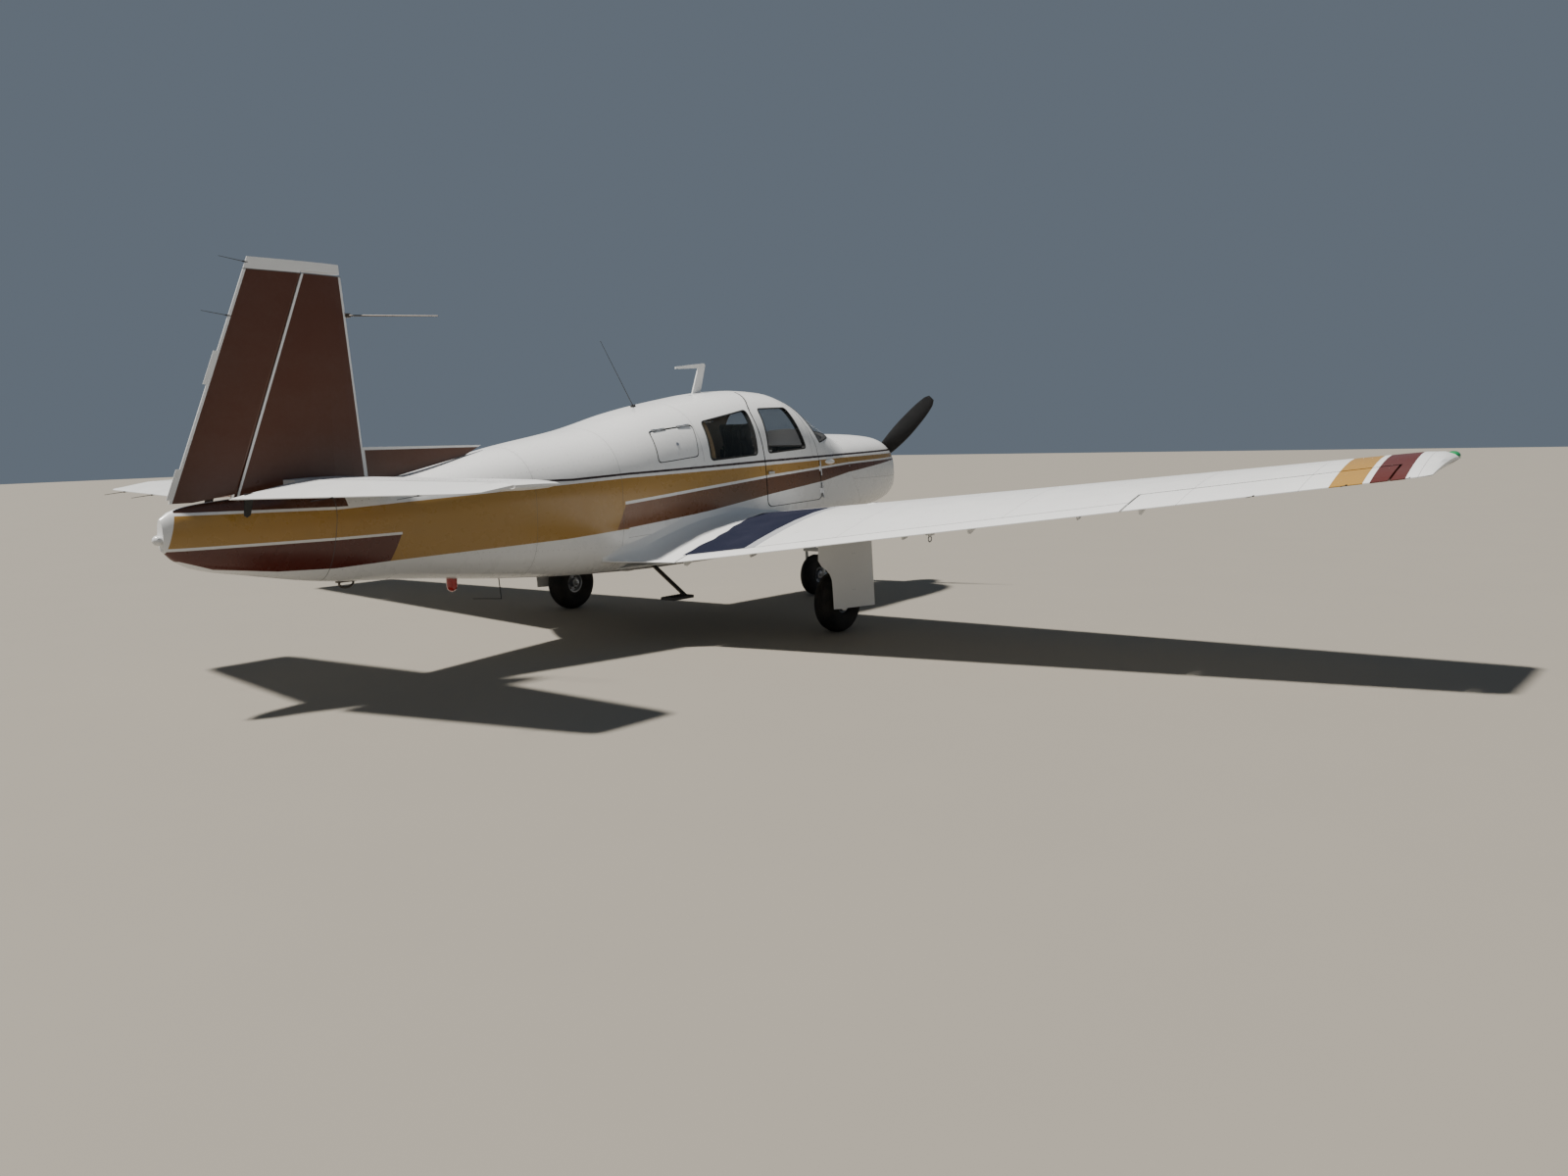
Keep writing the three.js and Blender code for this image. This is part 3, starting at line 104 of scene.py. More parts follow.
class Finish:
    def __init__(self, name):
        self.material = bpy.data.materials.new(name)
        self.material.use_nodes = True
        self.tree = self.material.node_tree
        self.tree.nodes.clear()
        self.places = None

    def node(self, kind, settings=None, inputs=None, output=0):
        made = self.tree.nodes.new(kind)
        for key, value in (settings or {}).items():
            setattr(made, key, value)
        for key, value in (inputs or {}).items():
            if isinstance(value, Wire):
                self.tree.links.new(value.socket, made.inputs[key])
            else:
                made.inputs[key].default_value = value
        return Wire(self, made.outputs[output])

    def object(self):
        return self.node("ShaderNodeTexCoord", output="Object")

    def axes(self):
        if self.places is None:
            split = self.node("ShaderNodeSeparateXYZ", inputs={0: self.object()})
            self.places = [Wire(self, split.socket.node.outputs[i]) for i in range(3)]
        return self.places

    def noise(self, scale, detail, rough, stretch=None):
        vector = self.object()
        if stretch:
            vector = self.node("ShaderNodeMapping", {}, {"Vector": vector, "Scale": stretch})
        inputs = {"Vector": vector, "Scale": scale, "Detail": detail, "Roughness": rough}
        return self.node("ShaderNodeTexNoise", {}, inputs)

    def mix(self, mask, first, second):
        inputs = {0: mask, 6: first, 7: second}
        return self.node("ShaderNodeMix", {"data_type": "RGBA"}, inputs, output=2)

    def bump(self, height, strength, distance):
        inputs = {"Height": height, "Strength": strength, "Distance": distance}
        return self.node("ShaderNodeBump", {}, inputs)

    def surface(self, **inputs):
        named = {key.replace("_", " "): value for key, value in inputs.items()}
        shader = self.node("ShaderNodeBsdfPrincipled", {}, named)
        out = self.tree.nodes.new("ShaderNodeOutputMaterial")
        self.tree.links.new(shader.socket, out.inputs["Surface"])
        return self.material


def rgb(red, green, blue):
    return (red, green, blue, 1.0)


def darker(colour, share):
    return rgb(*(c * share for c in colour[:3]))


paint = {
    "white": rgb(0.78, 0.785, 0.78),
    "gold": rgb(0.375, 0.208, 0.040),
    "brown": rgb(0.095, 0.030, 0.009),
    "brownAft": rgb(0.190, 0.078, 0.026),
    "chocolate": rgb(0.085, 0.027, 0.011),
    "maroon": rgb(0.085, 0.012, 0.006),
    "dark": rgb(0.026, 0.010, 0.008),
    "seam": rgb(0.08, 0.08, 0.08),
    "dust": rgb(0.30, 0.28, 0.25),
    "walkwayEdge": rgb(0.30, 0.31, 0.33),
}

# Stripes along the body, as the height of each edge at places along X
stripes = {
    "darkTop": [(-0.938, 1.179), (-0.494, 1.199), (0.942, 1.240), (2.10, 1.263), (3.19, 1.283)],
    "darkBottom": [(-0.938, 1.164), (-0.494, 1.184), (0.942, 1.222), (2.10, 1.247), (3.19, 1.268)],
    "goldTop": [(-3.45, 1.088), (-2.54, 1.070), (-0.938, 1.144), (-0.494, 1.164), (0.942, 1.198),
                (2.10, 1.229), (3.19, 1.246)],
    "pinTop": [(-3.45, 1.103), (-2.54, 1.086)],
    "goldBottom": [(-0.52, 1.005), (0.253, 1.069), (1.028, 1.126), (2.136, 1.188), (3.19, 1.214)],
    "brownTop": [(-0.52, 0.985), (0.253, 1.049), (1.028, 1.107), (2.136, 1.172), (3.19, 1.200)],
    "brownBottom": [(-0.60, 0.815), (0.245, 0.887), (1.022, 0.977), (1.725, 1.046), (2.109, 1.104),
                    (2.9, 1.176), (3.19, 1.190)],
    "aftGoldBottom": [(-2.227, 0.746), (-1.0, 0.785), (-0.55, 0.815)],
    "maroonTop": [(-3.45, 0.903), (-2.565, 0.896), (-2.158, 0.900)],
    "maroonPin": [(-3.45, 0.918), (-2.565, 0.911), (-2.158, 0.915)],
    "maroonBottom": [(-3.41, 0.846), (-3.24, 0.788), (-2.89, 0.745), (-2.56, 0.732), (-2.227, 0.746)],
}


def heightOf(x, edge):
    # A bent line over X: its start, plus each stretch's rise
    points = stripes[edge]
    height = None
    for (fromX, fromZ), (toX, toZ) in zip(points, points[1:]):
        rise = (x.most(fromX).least(toX) - fromX) * ((toZ - fromZ) / (toX - fromX))
        height = rise + fromZ if height is None else height + rise
    return height


gloss = {"roughness": 0.26, "coat": 0.18, "coatRoughness": 0.12, "dust": 0.10}


def paintSurface(finish, colour, seams=None, roughness=None, matte=None):
    # Gloss paint over riveted sheet: dust streaks, gentle panel waves, orange peel, dark panel gaps
    wide = finish.noise(1.7, 4.0, 0.6, (0.6, 1.0, 1.6))
    fine = finish.noise(38.0, 3.0, 0.7)
    dust = ((wide * 0.75 + fine * 0.25) - 0.42).maths("MULTIPLY", 2.6, clamp=True)
    colour = finish.mix(dust * gloss["dust"], colour, paint["dust"])
    waves = finish.noise(3.2, 2.0, 0.5, (1.0, 1.0, 1.4))
    peel = finish.noise(420.0, 1.0, 0.5)
    height = waves * 0.9 + peel * 0.012
    rough = finish.noise(9.0, 4.0, 0.6) * 0.16 + ((roughness or gloss["roughness"]) - 0.06)
    if seams is not None:
        colour = finish.mix(seams * 0.75, colour, paint["seam"])
        height = height - seams * 0.5
        rough = rough + seams * 0.3
    coat = gloss["coat"]
    if matte is not None:
        rough = rough + matte * 0.6
        coat = (1.0 - matte) * coat
    normal = finish.bump(height, 0.22, 0.004)
    return finish.surface(Base_Color=colour, Roughness=rough, Normal=normal, Coat_Weight=coat,
                          Coat_Roughness=gloss["coatRoughness"], Coat_IOR=1.5, IOR=1.5)


def lineAt(distance, width=0.0026):
    return abs(distance).below(width * 0.5, 0.0012)


def layered(finish, colour, *layers):
    # Each layer is a mask and the colour that it lays over the ones before
    for mask, over in layers:
        colour = finish.mix(mask, colour, paint.get(over, over))
    return colour


def bodyPaint(name, darkened=0.0):
    finish = Finish(name)
    x, y, z = finish.axes()
    edge = {key: heightOf(x, key) for key in stripes}

    def band(low, high):
        return z.between(edge[low], edge[high])

    behindSlant = z.above((x + 0.52) * 2.15 + 0.996)   # slanted rear end of the brown band
    goldAft = band("aftGoldBottom", "goldTop") * x.below(-0.50, 0.02)
    goldAft = goldAft * (1.0 - z.above(edge["pinTop"]) * x.below(-2.5))
    goldFore = band("goldBottom", "goldTop") * x.above(-0.53)
    goldWedge = band("aftGoldBottom", "goldTop") * behindSlant * x.between(-0.62, -0.50)
    brownTone = finish.mix(x.below(0.2, 1.4), paint["brown"], paint["brownAft"])
    colour = layered(
        finish, paint["white"],
        (goldAft.most(goldFore).most(goldWedge), "gold"),
        (band("brownBottom", "brownTop") * (1.0 - behindSlant) * x.above(-0.63), brownTone),
        (band("brownTop", "goldBottom") * x.above(-0.53), "white"),
        (band("maroonBottom", "maroonTop") * x.below((z - 0.749) * 0.40 - 2.224), "maroon"),
        (z.below(edge["maroonBottom"]) * x.below(-2.2), "white"),
        (band("maroonTop", "maroonPin") * x.below(-2.158), "white"),
        (band("darkBottom", "darkTop") * x.above(-2.4), "dark"),
        (band("goldTop", "pinTop") * x.below(-0.9), "white"),
        (z.above(edge["pinTop"]) * x.below(-2.47) * abs(y).above(0.012), "chocolate"),
        (x.below((z - 0.95) * 0.26 - 3.458), "white"),
        (darkened, "dark"),
    )
    seams = lineAt(x + 2.53 + (z - 1.178) * -0.14, 0.005)
    for station in (-1.238, -0.55, 0.262, 1.60, 1.93):
        low = 1.25 if station > 0 else 0.3
        seams = seams.most(lineAt(x - station) * z.above(low))
    seams = seams.most(lineAt(z - 0.83 + (x - 1.0) * -0.05) * x.between(-0.5, 0.9))
    return paintSurface(finish, colour, seams)


def cowlPaint(name):
    finish = Finish(name)
    x, y, z = finish.axes()
    layers = [(z.between(heightOf(x, key + "Bottom"), heightOf(x, key + "Top")), key)
              for key in ("gold", "brown", "dark")]
    colour = layered(finish, paint["white"], *layers)
    return paintSurface(finish, colour, lineAt(z - 1.045) * x.between(2.2, 3.3))


# Marks on the wing, as distances from the centre plane and along X
wingMarks = {"gold": (4.865, 5.025), "maroon": (5.058, 5.222), "tipEnd": 5.278, "sweep": 0.046,
             "walkway": (0.58, 1.275), "walkwayX": (0.120, 0.87), "grey": 1.36,
             "ribs": (0.62, 1.95, 3.05, 4.10, 4.72)}


def wingPaint(name, darkened=0.0):
    finish = Finish(name)
    x, y, z = finish.axes()
    marks = wingMarks
    out = abs(y) + (x - 0.2) * marks["sweep"]
    # The wing's mid plane, so that the walkway is on the top only
    middle = abs(y) * 0.1231 + (x + 0.52 - abs(y) * 0.1434) * 0.0954 + 0.486
    top = z.above(middle + 0.012) * x.below(marks["walkwayX"][1], 0.004)
    grey = (0.0 - y).between(marks["walkway"][1], marks["grey"], 0.004) * top
    colour = layered(
        finish, paint["white"],
        (out.between(*marks["gold"]), "gold"),
        (out.between(*marks["maroon"]), "maroon"),
        (grey, "walkwayEdge"),
        (darkened, "dark"),
    )
    seams = lineAt(out - marks["tipEnd"])
    for station in marks["ribs"]:
        seams = seams.most(lineAt(abs(y) - station))
    return paintSurface(finish, colour, seams, 0.28, grey)


finSpec = {"baseZ": 1.15, "capZ": 2.403, "dorsalTop": 1.402}


def finPaint(name, leading, trailing, strips):
    # Brown sides with white strips along both edges, given by X at the base and rise, and a white cap
    finish = Finish(name)
    x, y, z = finish.axes()
    lead, trail = [(z - finSpec["baseZ"]) * rise + start for start, rise in (leading, trailing)]
    brown = x.below(lead - strips[0]) * x.above(trail + strips[1]) * z.below(finSpec["capZ"])
    dorsal = x.above(lead + 0.006) * z.below(finSpec["dorsalTop"])
    fade = (finish.noise(1.3, 4.0, 0.6) - 0.4).maths("MULTIPLY", 1.6, clamp=True)
    sunned = finish.mix(fade * 0.5, paint["chocolate"], rgb(0.115, 0.042, 0.022))
    colour = finish.mix(brown.most(dorsal), paint["white"], sunned)
    return paintSurface(finish, colour, lineAt(z - finSpec["capZ"], 0.006), 0.3)


def plainPaint(name, colour, roughness=0.3):
    return paintSurface(Finish(name), colour, None, roughness)


def metalFinish(name, colour, roughness, scale=60.0):
    finish = Finish(name)
    marks = finish.noise(scale, 4.0, 0.7, (1.0, 1.0, 4.0))
    tint = finish.mix(marks * 0.5, colour, darker(colour, 0.6))
    rough = marks * 0.25 + (roughness - 0.1)
    normal = finish.bump(marks, 0.15, 0.001)
    return finish.surface(Base_Color=tint, Metallic=0.95, Roughness=rough, Normal=normal)


def gritFinish(name):
    finish = Finish(name)
    grit = finish.noise(900.0, 2.0, 0.6)
    worn = finish.noise(3.0, 4.0, 0.6).above(0.56, 0.3)
    colour = finish.mix(grit * 0.6 + worn * 0.3, rgb(0.006, 0.008, 0.020), rgb(0.026, 0.028, 0.046))
    return finish.surface(Base_Color=colour, Roughness=0.95, Specular_IOR_Level=0.08,
                          Normal=finish.bump(grit, 0.5, 0.001))


def rubberFinish(name):
    finish = Finish(name)
    dust = finish.noise(7.0, 5.0, 0.65)
    grain = finish.noise(260.0, 2.0, 0.6)
    colour = finish.mix(dust.above(0.56, 0.3) * 0.5, rgb(0.012, 0.012, 0.012), rgb(0.065, 0.057, 0.048))
    return finish.surface(Base_Color=colour, Roughness=dust * 0.2 + 0.72,
                          Normal=finish.bump(grain, 0.25, 0.0008), Specular_IOR_Level=0.35)


def plasticFinish(name, colour, roughness):
    finish = Finish(name)
    grain = finish.noise(500.0, 2.0, 0.6)
    wide = finish.noise(14.0, 3.0, 0.6)
    tint = finish.mix(wide * 0.3, colour, rgb(*(min(1.0, c * 1.8 + 0.01) for c in colour[:3])))
    return finish.surface(Base_Color=tint, Roughness=wide * 0.2 + (roughness - 0.1),
                          Normal=finish.bump(grain, 0.2, 0.0006))


def leatherFinish(name, colour):
    finish = Finish(name)
    inputs = {"Vector": finish.object(), "Scale": 210.0}
    cells = finish.node("ShaderNodeTexVoronoi", {"feature": "DISTANCE_TO_EDGE"}, inputs)
    wide = finish.noise(6.0, 4.0, 0.6)
    tint = finish.mix(wide * 0.55, colour, darker(colour, 0.45))
    height = cells.maths("MULTIPLY", 2.2, clamp=True) + wide * 0.8
    return finish.surface(Base_Color=tint, Roughness=wide * 0.25 + 0.42,
                          Normal=finish.bump(height, 0.35, 0.0012))


def bandsOf(finish, scale, distortion=0.0):
    inputs = {"Vector": finish.object(), "Scale": scale, "Distortion": distortion}
    return finish.node("ShaderNodeTexWave", {"wave_type": "BANDS", "bands_direction": "Z"}, inputs)


def clothFinish(name, colour, scale=144.0):
    finish = Finish(name)
    wide = finish.noise(5.0, 4.0, 0.6)
    tint = finish.mix(wide * 0.5, colour, darker(colour, 0.6))
    return finish.surface(Base_Color=tint, Roughness=0.9, Sheen_Weight=0.25,
                          Normal=finish.bump(bandsOf(finish, scale, 1.2), 0.3, 0.0008))


def glassFinish(name, colour):
    finish = Finish(name)
    smear = finish.noise(4.0, 4.0, 0.6)
    made = finish.surface(Base_Color=colour, Roughness=smear * 0.06 + 0.02, Alpha=smear * 0.08 + 0.10,
                          IOR=1.49, Specular_IOR_Level=0.5, Coat_Weight=0.15)
    made.surface_render_method = "BLENDED"
    return made


def lensFinish(name, colour):
    finish = Finish(name)
    ribs = bandsOf(finish, 60.0)
    tint = finish.mix(ribs * 0.4, colour, darker(colour, 0.5))
    return finish.surface(Base_Color=tint, Roughness=0.12, Coat_Weight=0.6,
                          Normal=finish.bump(ribs, 0.2, 0.001))


finishes = {
    "body": bodyPaint("bodyPaint"),
    "cowl": cowlPaint("cowlPaint"),
    "wing": wingPaint("wingPaint"),
    "bodyRivet": bodyPaint("bodyRivetPaint", 0.5),
    "wingRivet": wingPaint("wingRivetPaint", 0.4),
    "fin": finPaint("finPaint", (-2.209, -0.0764), (-3.08, 0.3984), (0.024, 0.022)),
    "rudder": finPaint("rudderPaint", (-3.043, 0.3984), (-3.427, 0.4124), (0.026, 0.016)),
    "white": plainPaint("whitePaint", paint["white"]),
    "leg": plainPaint("legPaint", rgb(0.60, 0.61, 0.60), 0.4),
    "blade": plasticFinish("bladePaint", rgb(0.010, 0.010, 0.012), 0.42),
    "alloy": metalFinish("wheelAlloy", rgb(0.55, 0.56, 0.58), 0.42),
    "bare": metalFinish("bareAlloy", rgb(0.62, 0.63, 0.65), 0.3),
    "steel": metalFinish("darkSteel", rgb(0.16, 0.14, 0.12), 0.5),
    "iron": metalFinish("engineIron", rgb(0.22, 0.22, 0.23), 0.6, 25.0),
    "rubber": rubberFinish("tyreRubber"),
    "grit": gritFinish("walkwayGrit"),
    "black": plasticFinish("blackPlastic", rgb(0.016, 0.016, 0.017), 0.55),
    "panel": plasticFinish("panelPaint", rgb(0.035, 0.034, 0.034), 0.6),
    "ivory": plasticFinish("dialMarks", rgb(0.62, 0.60, 0.54), 0.5),
    "liner": clothFinish("cabinLining", rgb(0.33, 0.27, 0.20)),
    "carpet": clothFinish("cabinCarpet", rgb(0.075, 0.060, 0.050), 80.0),
    "leather": leatherFinish("seatLeather", rgb(0.020, 0.021, 0.028)),
    "curtain": clothFinish("curtainCloth", rgb(0.50, 0.36, 0.20)),
    "glass": glassFinish("windowGlass", rgb(0.05, 0.06, 0.06)),
    "seal": plasticFinish("sealRubber", rgb(0.012, 0.012, 0.012), 0.7),
    "red": lensFinish("redLens", rgb(0.50, 0.012, 0.008)),
    "green": lensFinish("greenLens", rgb(0.01, 0.28, 0.08)),
    "clear": lensFinish("clearLens", rgb(0.75, 0.76, 0.76)),
}
print("stage: finishes made")


# Body sections, from the same sizes as the solids
bodySections = [
    # x, top, bottom, waist, half width, upper power, lower power
    (3.190, 1.300, 0.858, 1.045, 0.290, 2.4, 2.2), (3.150, 1.340, 0.830, 1.045, 0.355, 2.6, 2.3),
    (3.060, 1.374, 0.803, 1.045, 0.424, 2.9, 2.5), (2.900, 1.404, 0.780, 1.045, 0.484, 3.1, 2.8),
    (2.600, 1.422, 0.755, 1.042, 0.535, 3.1, 3.2), (2.206, 1.432, 0.705, 1.040, 0.565, 3.0, 3.6),
    (2.110, 1.443, 0.693, 1.040, 0.568, 2.8, 3.8), (1.920, 1.562, 0.672, 1.045, 0.570, 2.5, 4.0),
    (1.720, 1.680, 0.645, 1.050, 0.571, 2.5, 4.0), (1.570, 1.745, 0.622, 1.050, 0.572, 2.5, 4.0),
    (1.400, 1.780, 0.592, 1.050, 0.572, 2.6, 4.0), (1.150, 1.790, 0.528, 1.050, 0.572, 2.6, 4.0),
    (0.850, 1.772, 0.494, 1.050, 0.571, 2.6, 4.0), (0.480, 1.722, 0.482, 1.050, 0.566, 2.6, 4.0),
    (0.000, 1.640, 0.482, 1.050, 0.548, 2.5, 4.0), (-0.550, 1.512, 0.494, 1.045, 0.502, 2.4, 3.6),
    (-1.220, 1.402, 0.532, 1.035, 0.405, 2.2, 3.2), (-2.030, 1.234, 0.610, 1.000, 0.262, 2.2, 2.8),
    (-2.530, 1.190, 0.648, 0.985, 0.185, 2.2, 2.6), (-3.080, 1.160, 0.742, 0.965, 0.118, 2.2, 2.5),
    (-3.310, 1.138, 0.790, 0.965, 0.084, 2.2, 2.4), (-3.430, 1.112, 0.850, 0.970, 0.058, 2.2, 2.2),
    (-3.485, 1.075, 0.905, 0.975, 0.030, 2.0, 2.0),
]


def smoothRow(rows, x):
    # Rows joined by smooth curves that never swing past them, at a place along the first column
    x = min(max(x, rows[0][0]), rows[-1][0])
    i = max(k for k in range(len(rows) - 1) if rows[k][0] <= x)
    span = rows[i + 1][0] - rows[i][0]
    t = (x - rows[i][0]) / span

    def slope(j, k):
        if j <= 0 or j >= len(rows) - 1:
            return 0.0 if j <= 0 else (rows[-1][k] - rows[-2][k]) / (rows[-1][0] - rows[-2][0])
        before = (rows[j][k] - rows[j - 1][k]) / (rows[j][0] - rows[j - 1][0])
        after = (rows[j + 1][k] - rows[j][k]) / (rows[j + 1][0] - rows[j][0])
        return 0.0 if before * after <= 0 else 2 * before * after / (before + after)

    return [(2 * t ** 3 - 3 * t ** 2 + 1) * rows[i][k] + (t ** 3 - 2 * t ** 2 + t) * slope(i, k) * span
            + (3 * t ** 2 - 2 * t ** 3) * rows[i + 1][k] + (t ** 3 - t ** 2) * slope(i + 1, k) * span
            for k in range(1, len(rows[0]))]


def sectionAt(x):
    return smoothRow(bodySections[::-1], x)


def skinPoint(x, turn, inset=0.0):
    top, bottom, waist, half, upper, lower = sectionAt(x)
    power = upper if sin(turn) >= 0 else lower
    across = copysign(abs(cos(turn)) ** (2 / power), cos(turn))
    up = abs(sin(turn)) ** (2 / power)
    rise = top - waist - inset if sin(turn) >= 0 else -(waist - bottom - inset)
    return Vector((x, across * (half - inset), waist + up * rise))


def skinSide(x, z, side=-1, proud=0.0):
    # The point on the body's side at a place along it and a height
    top, bottom, waist, half, upper, lower = sectionAt(x)
    power = upper if z >= waist else lower
    share = abs(z - waist) / ((top - waist) if z >= waist else (waist - bottom))
    return Vector((x, side * (half * max(0.0, 1 - share ** power) ** (1 / power) + proud), z))


def skinNormal(at):
    def field(place):
        top, bottom, waist, half, upper, lower = sectionAt(place.x)
        power, rise = (upper, top - waist) if place.z >= waist else (lower, waist - bottom)
        return abs(place.y / half) ** power + abs((place.z - waist) / rise) ** power

    steps = [Vector(shift) * 0.001 for shift in ((1, 0, 0), (0, 1, 0), (0, 0, 1))]
    return Vector([field(at + step) - field(at - step) for step in steps]).normalized()


# Making and shaping pieces
def linked(name, data):
    made = bpy.data.objects.new(name, data)
    collection.objects.link(made)
    return made


def objectFrom(name, verts, faces, finish):
    mesh = bpy.data.meshes.new(name)
    mesh.from_pydata([tuple(v) for v in verts], [], faces)
    mesh.validate()
    mesh.materials.append(finishes[finish])
    return linked(name, mesh)


def shade(piece, angle=40.0):
    piece.data.shade_smooth()
    piece.data.set_sharp_from_angle(angle=radians(angle))


def mergeDoubles(mesh, near, thin, turnOut=False):
    work = bmesh.new()
    work.from_mesh(mesh)
    bmesh.ops.remove_doubles(work, verts=work.verts, dist=near)
    bmesh.ops.dissolve_degenerate(work, edges=work.edges, dist=thin)
    if turnOut:
        bmesh.ops.recalc_face_normals(work, faces=work.faces)
    work.to_mesh(mesh)
    work.free()


def faceOut(piece, smooth):
    # Merge doubles, then point every face outwards
    mergeDoubles(piece.data, 0.00002, 0.00001, turnOut=True)
    if smooth:
        shade(piece, smooth)
    return piece


def applyModifiers(piece):
    bpy.context.view_layer.update()
    graph = bpy.context.evaluated_depsgraph_get()
    mesh = bpy.data.meshes.new_from_object(piece.evaluated_get(graph))
    piece.modifiers.clear()
    old = piece.data
    piece.data = mesh
    bpy.data.meshes.remove(old)


def addModifier(piece, kind, **settings):
    step = piece.modifiers.new(kind.lower(), kind)
    for key, value in settings.items():
        setattr(step, key, value)
    applyModifiers(piece)
    return piece


def addBevel(piece, width, segments=2, angle=35.0):
    return addModifier(piece, "BEVEL", width=width, segments=segments, limit_method="ANGLE",
                       angle_limit=radians(angle))


def cut(piece, cutters, operation="DIFFERENCE"):
    for cutter in cutters:
        addModifier(piece, "BOOLEAN", operation=operation, solver="EXACT", material_mode="TRANSFER",
                    object=cutter)
        bpy.data.objects.remove(cutter)
    return piece


def loftRings(name, rings, finish, smooth=40.0, capped=True):
    # A skin through rings of equally many points, with a flat cap at each end
    count = len(rings[0])
    verts = [point for ring in rings for point in ring]
    faces = [(start + k, start + (k + 1) % count, start + count + (k + 1) % count, start + count + k)
             for start in range(0, len(verts) - count, count) for k in range(count)]
    if capped:
        faces.append(tuple(range(count))[::-1])
        faces.append(tuple(range(len(verts) - count, len(verts))))
    return faceOut(objectFrom(name, verts, faces, finish), smooth)


def gridFaces(rows, columns):
    # The quads of a grid of points, row by row
    wide = columns + 1
    return [(r * wide + c, r * wide + c + 1, (r + 1) * wide + c + 1, (r + 1) * wide + c)
            for r in range(rows) for c in range(columns)]


def roundedCorners(corners, radius, steps=6):
    count = len(corners)
    points = []
    for i in range(count):
        here = Vector(corners[i])
        before = here + (Vector(corners[i - 1]) - here).normalized() * radius
        after = here + (Vector(corners[(i + 1) % count]) - here).normalized() * radius
        for k in range(steps + 1):
            t = k / steps
            points.append(before * (1 - t) ** 2 + here * 2 * t * (1 - t) + after * t ** 2)
    return points


def shrunk(corners, margins):
    # The outline with each edge moved inwards, by one margin or one for each edge
    count = len(corners)
    margins = margins if isinstance(margins, (list, tuple)) else [margins] * count
    area = sum(corners[i][0] * corners[(i + 1) % count][1] - corners[(i + 1) % count][0] * corners[i][1]
               for i in range(count))
    edges = []
    for i in range(count):
        along = (Vector(corners[(i + 1) % count]) - Vector(corners[i])).normalized() * copysign(1.0, area)
        normal = Vector((-along.y, along.x))
        edges.append((normal, normal.dot(Vector(corners[i])) + margins[i]))
    result = []
    for i in range(count):
        (a, reachA), (b, reachB) = edges[i - 1], edges[i]
        cross = a.x * b.y - a.y * b.x
        result.append(((reachA * b.y - reachB * a.y) / cross, (reachB * a.x - reachA * b.x) / cross))
    return result


def prism(name, outline, y0, y1, finish="seal", bevel=0.0):
    made = loftRings(name, [[(p[0], y, p[1]) for p in outline] for y in (y0, y1)], finish, 0)
    return addBevel(made, bevel) if bevel else made


def block(name, low, high, finish, bevel=0.002):
    outline = [(low[0], low[2]), (high[0], low[2]), (high[0], high[2]), (low[0], high[2])]
    made = prism(name, outline, low[1], high[1], finish, bevel)
    shade(made, 40.0)
    return made


def headings(points, closed):
    # At each point, the way from the point behind it to the one ahead
    count = len(points)
    result = []
    for i, point in enumerate(points):
        ahead = points[(i + 1) % count] if closed or i < count - 1 else point
        behind = points[i - 1] if closed or i > 0 else point
        result.append(ahead - behind)
    return result


def tubeAlong(name, points, radius, finish, closed=False, sides=8):
    # A round bar swept along points, with one radius or one for each, its frame carried along
    points = [Vector(p) for p in points]
    sizes = radius if isinstance(radius, list) else [radius] * len(points)
    rings = []
    side = None
    for point, heading, size in zip(points, headings(points, closed), sizes):
        along = heading.normalized()
        side = side or along.orthogonal().normalized()
        side = (side - along * side.dot(along)).normalized()
        other = along.cross(side)
        rings.append([point + (side * cos(a) + other * sin(a)) * size for a in turns(sides)])
    if closed:
        rings.append(rings[0])
    return loftRings(name, rings, finish, 50.0, capped=not closed)


def rodBetween(name, start, end, radius, finish, endRadius=None, sides=16):
    return tubeAlong(name, [start, end], [radius, endRadius or radius], finish, sides=sides)


def stripAlong(name, places, width, height, finish, sunk=0.0015):
    # A low rounded strip on a surface, along a loop of (point, outward normal) places
    profile = [(-0.5, -sunk), (-0.5, height * 0.45), (-0.3, height), (0.3, height), (0.5, height * 0.45),
               (0.5, -sunk)]
    rings = []
    for (point, normal), heading in zip(places, headings([at for at, _ in places], True)):
        side = normal.cross(heading).normalized()
        rings.append([point + side * (across * width) + normal * up for across, up in profile])
    return loftRings(name, rings + rings[:1], finish, capped=False)


def lathed(name, profile, at, axis, finish, segments=48):
    # A turned piece: profile of (radius, distance along the axis), closed on itself
    axis = Vector(axis).normalized()
    side = axis.orthogonal().normalized()
    other = axis.cross(side)
    rings = []
    for turn in turns(segments) + [0.0]:
        out = side * cos(turn) + other * sin(turn)
        rings.append([Vector(at) + out * radius + axis * along for radius, along in profile])
    return loftRings(name, rings, finish, 35.0, capped=False)


def bulb(name, centre, radii, finish):
    # An egg-shaped body with its own radius on each axis
    segments, rows = 24, 12
    rings = []
    for i in range(1, rows):
        lean = pi * i / rows
        rings.append([(centre[0] + radii[0] * sin(lean) * cos(turn),
                       centre[1] + radii[1] * sin(lean) * sin(turn),
                       centre[2] + radii[2] * cos(lean)) for turn in turns(segments)])
    return loftRings(name, rings, finish, 60.0)


def joined(name, pieces):
    # One object from several, each keeping its finish
    work = bmesh.new()
    slots = []
    for piece in pieces:
        start = len(work.faces)
        work.from_mesh(piece.data)
        work.faces.ensure_lookup_table()
        own = list(piece.data.materials)
        slots += [material for material in own if material not in slots]
        for face in work.faces[start:]:
            face.material_index = slots.index(own[face.material_index])
    mesh = bpy.data.meshes.new(name)
    work.to_mesh(mesh)
    work.free()
    for material in slots:
        mesh.materials.append(material)
    for piece in pieces:
        bpy.data.objects.remove(piece)
    return linked(name, mesh)


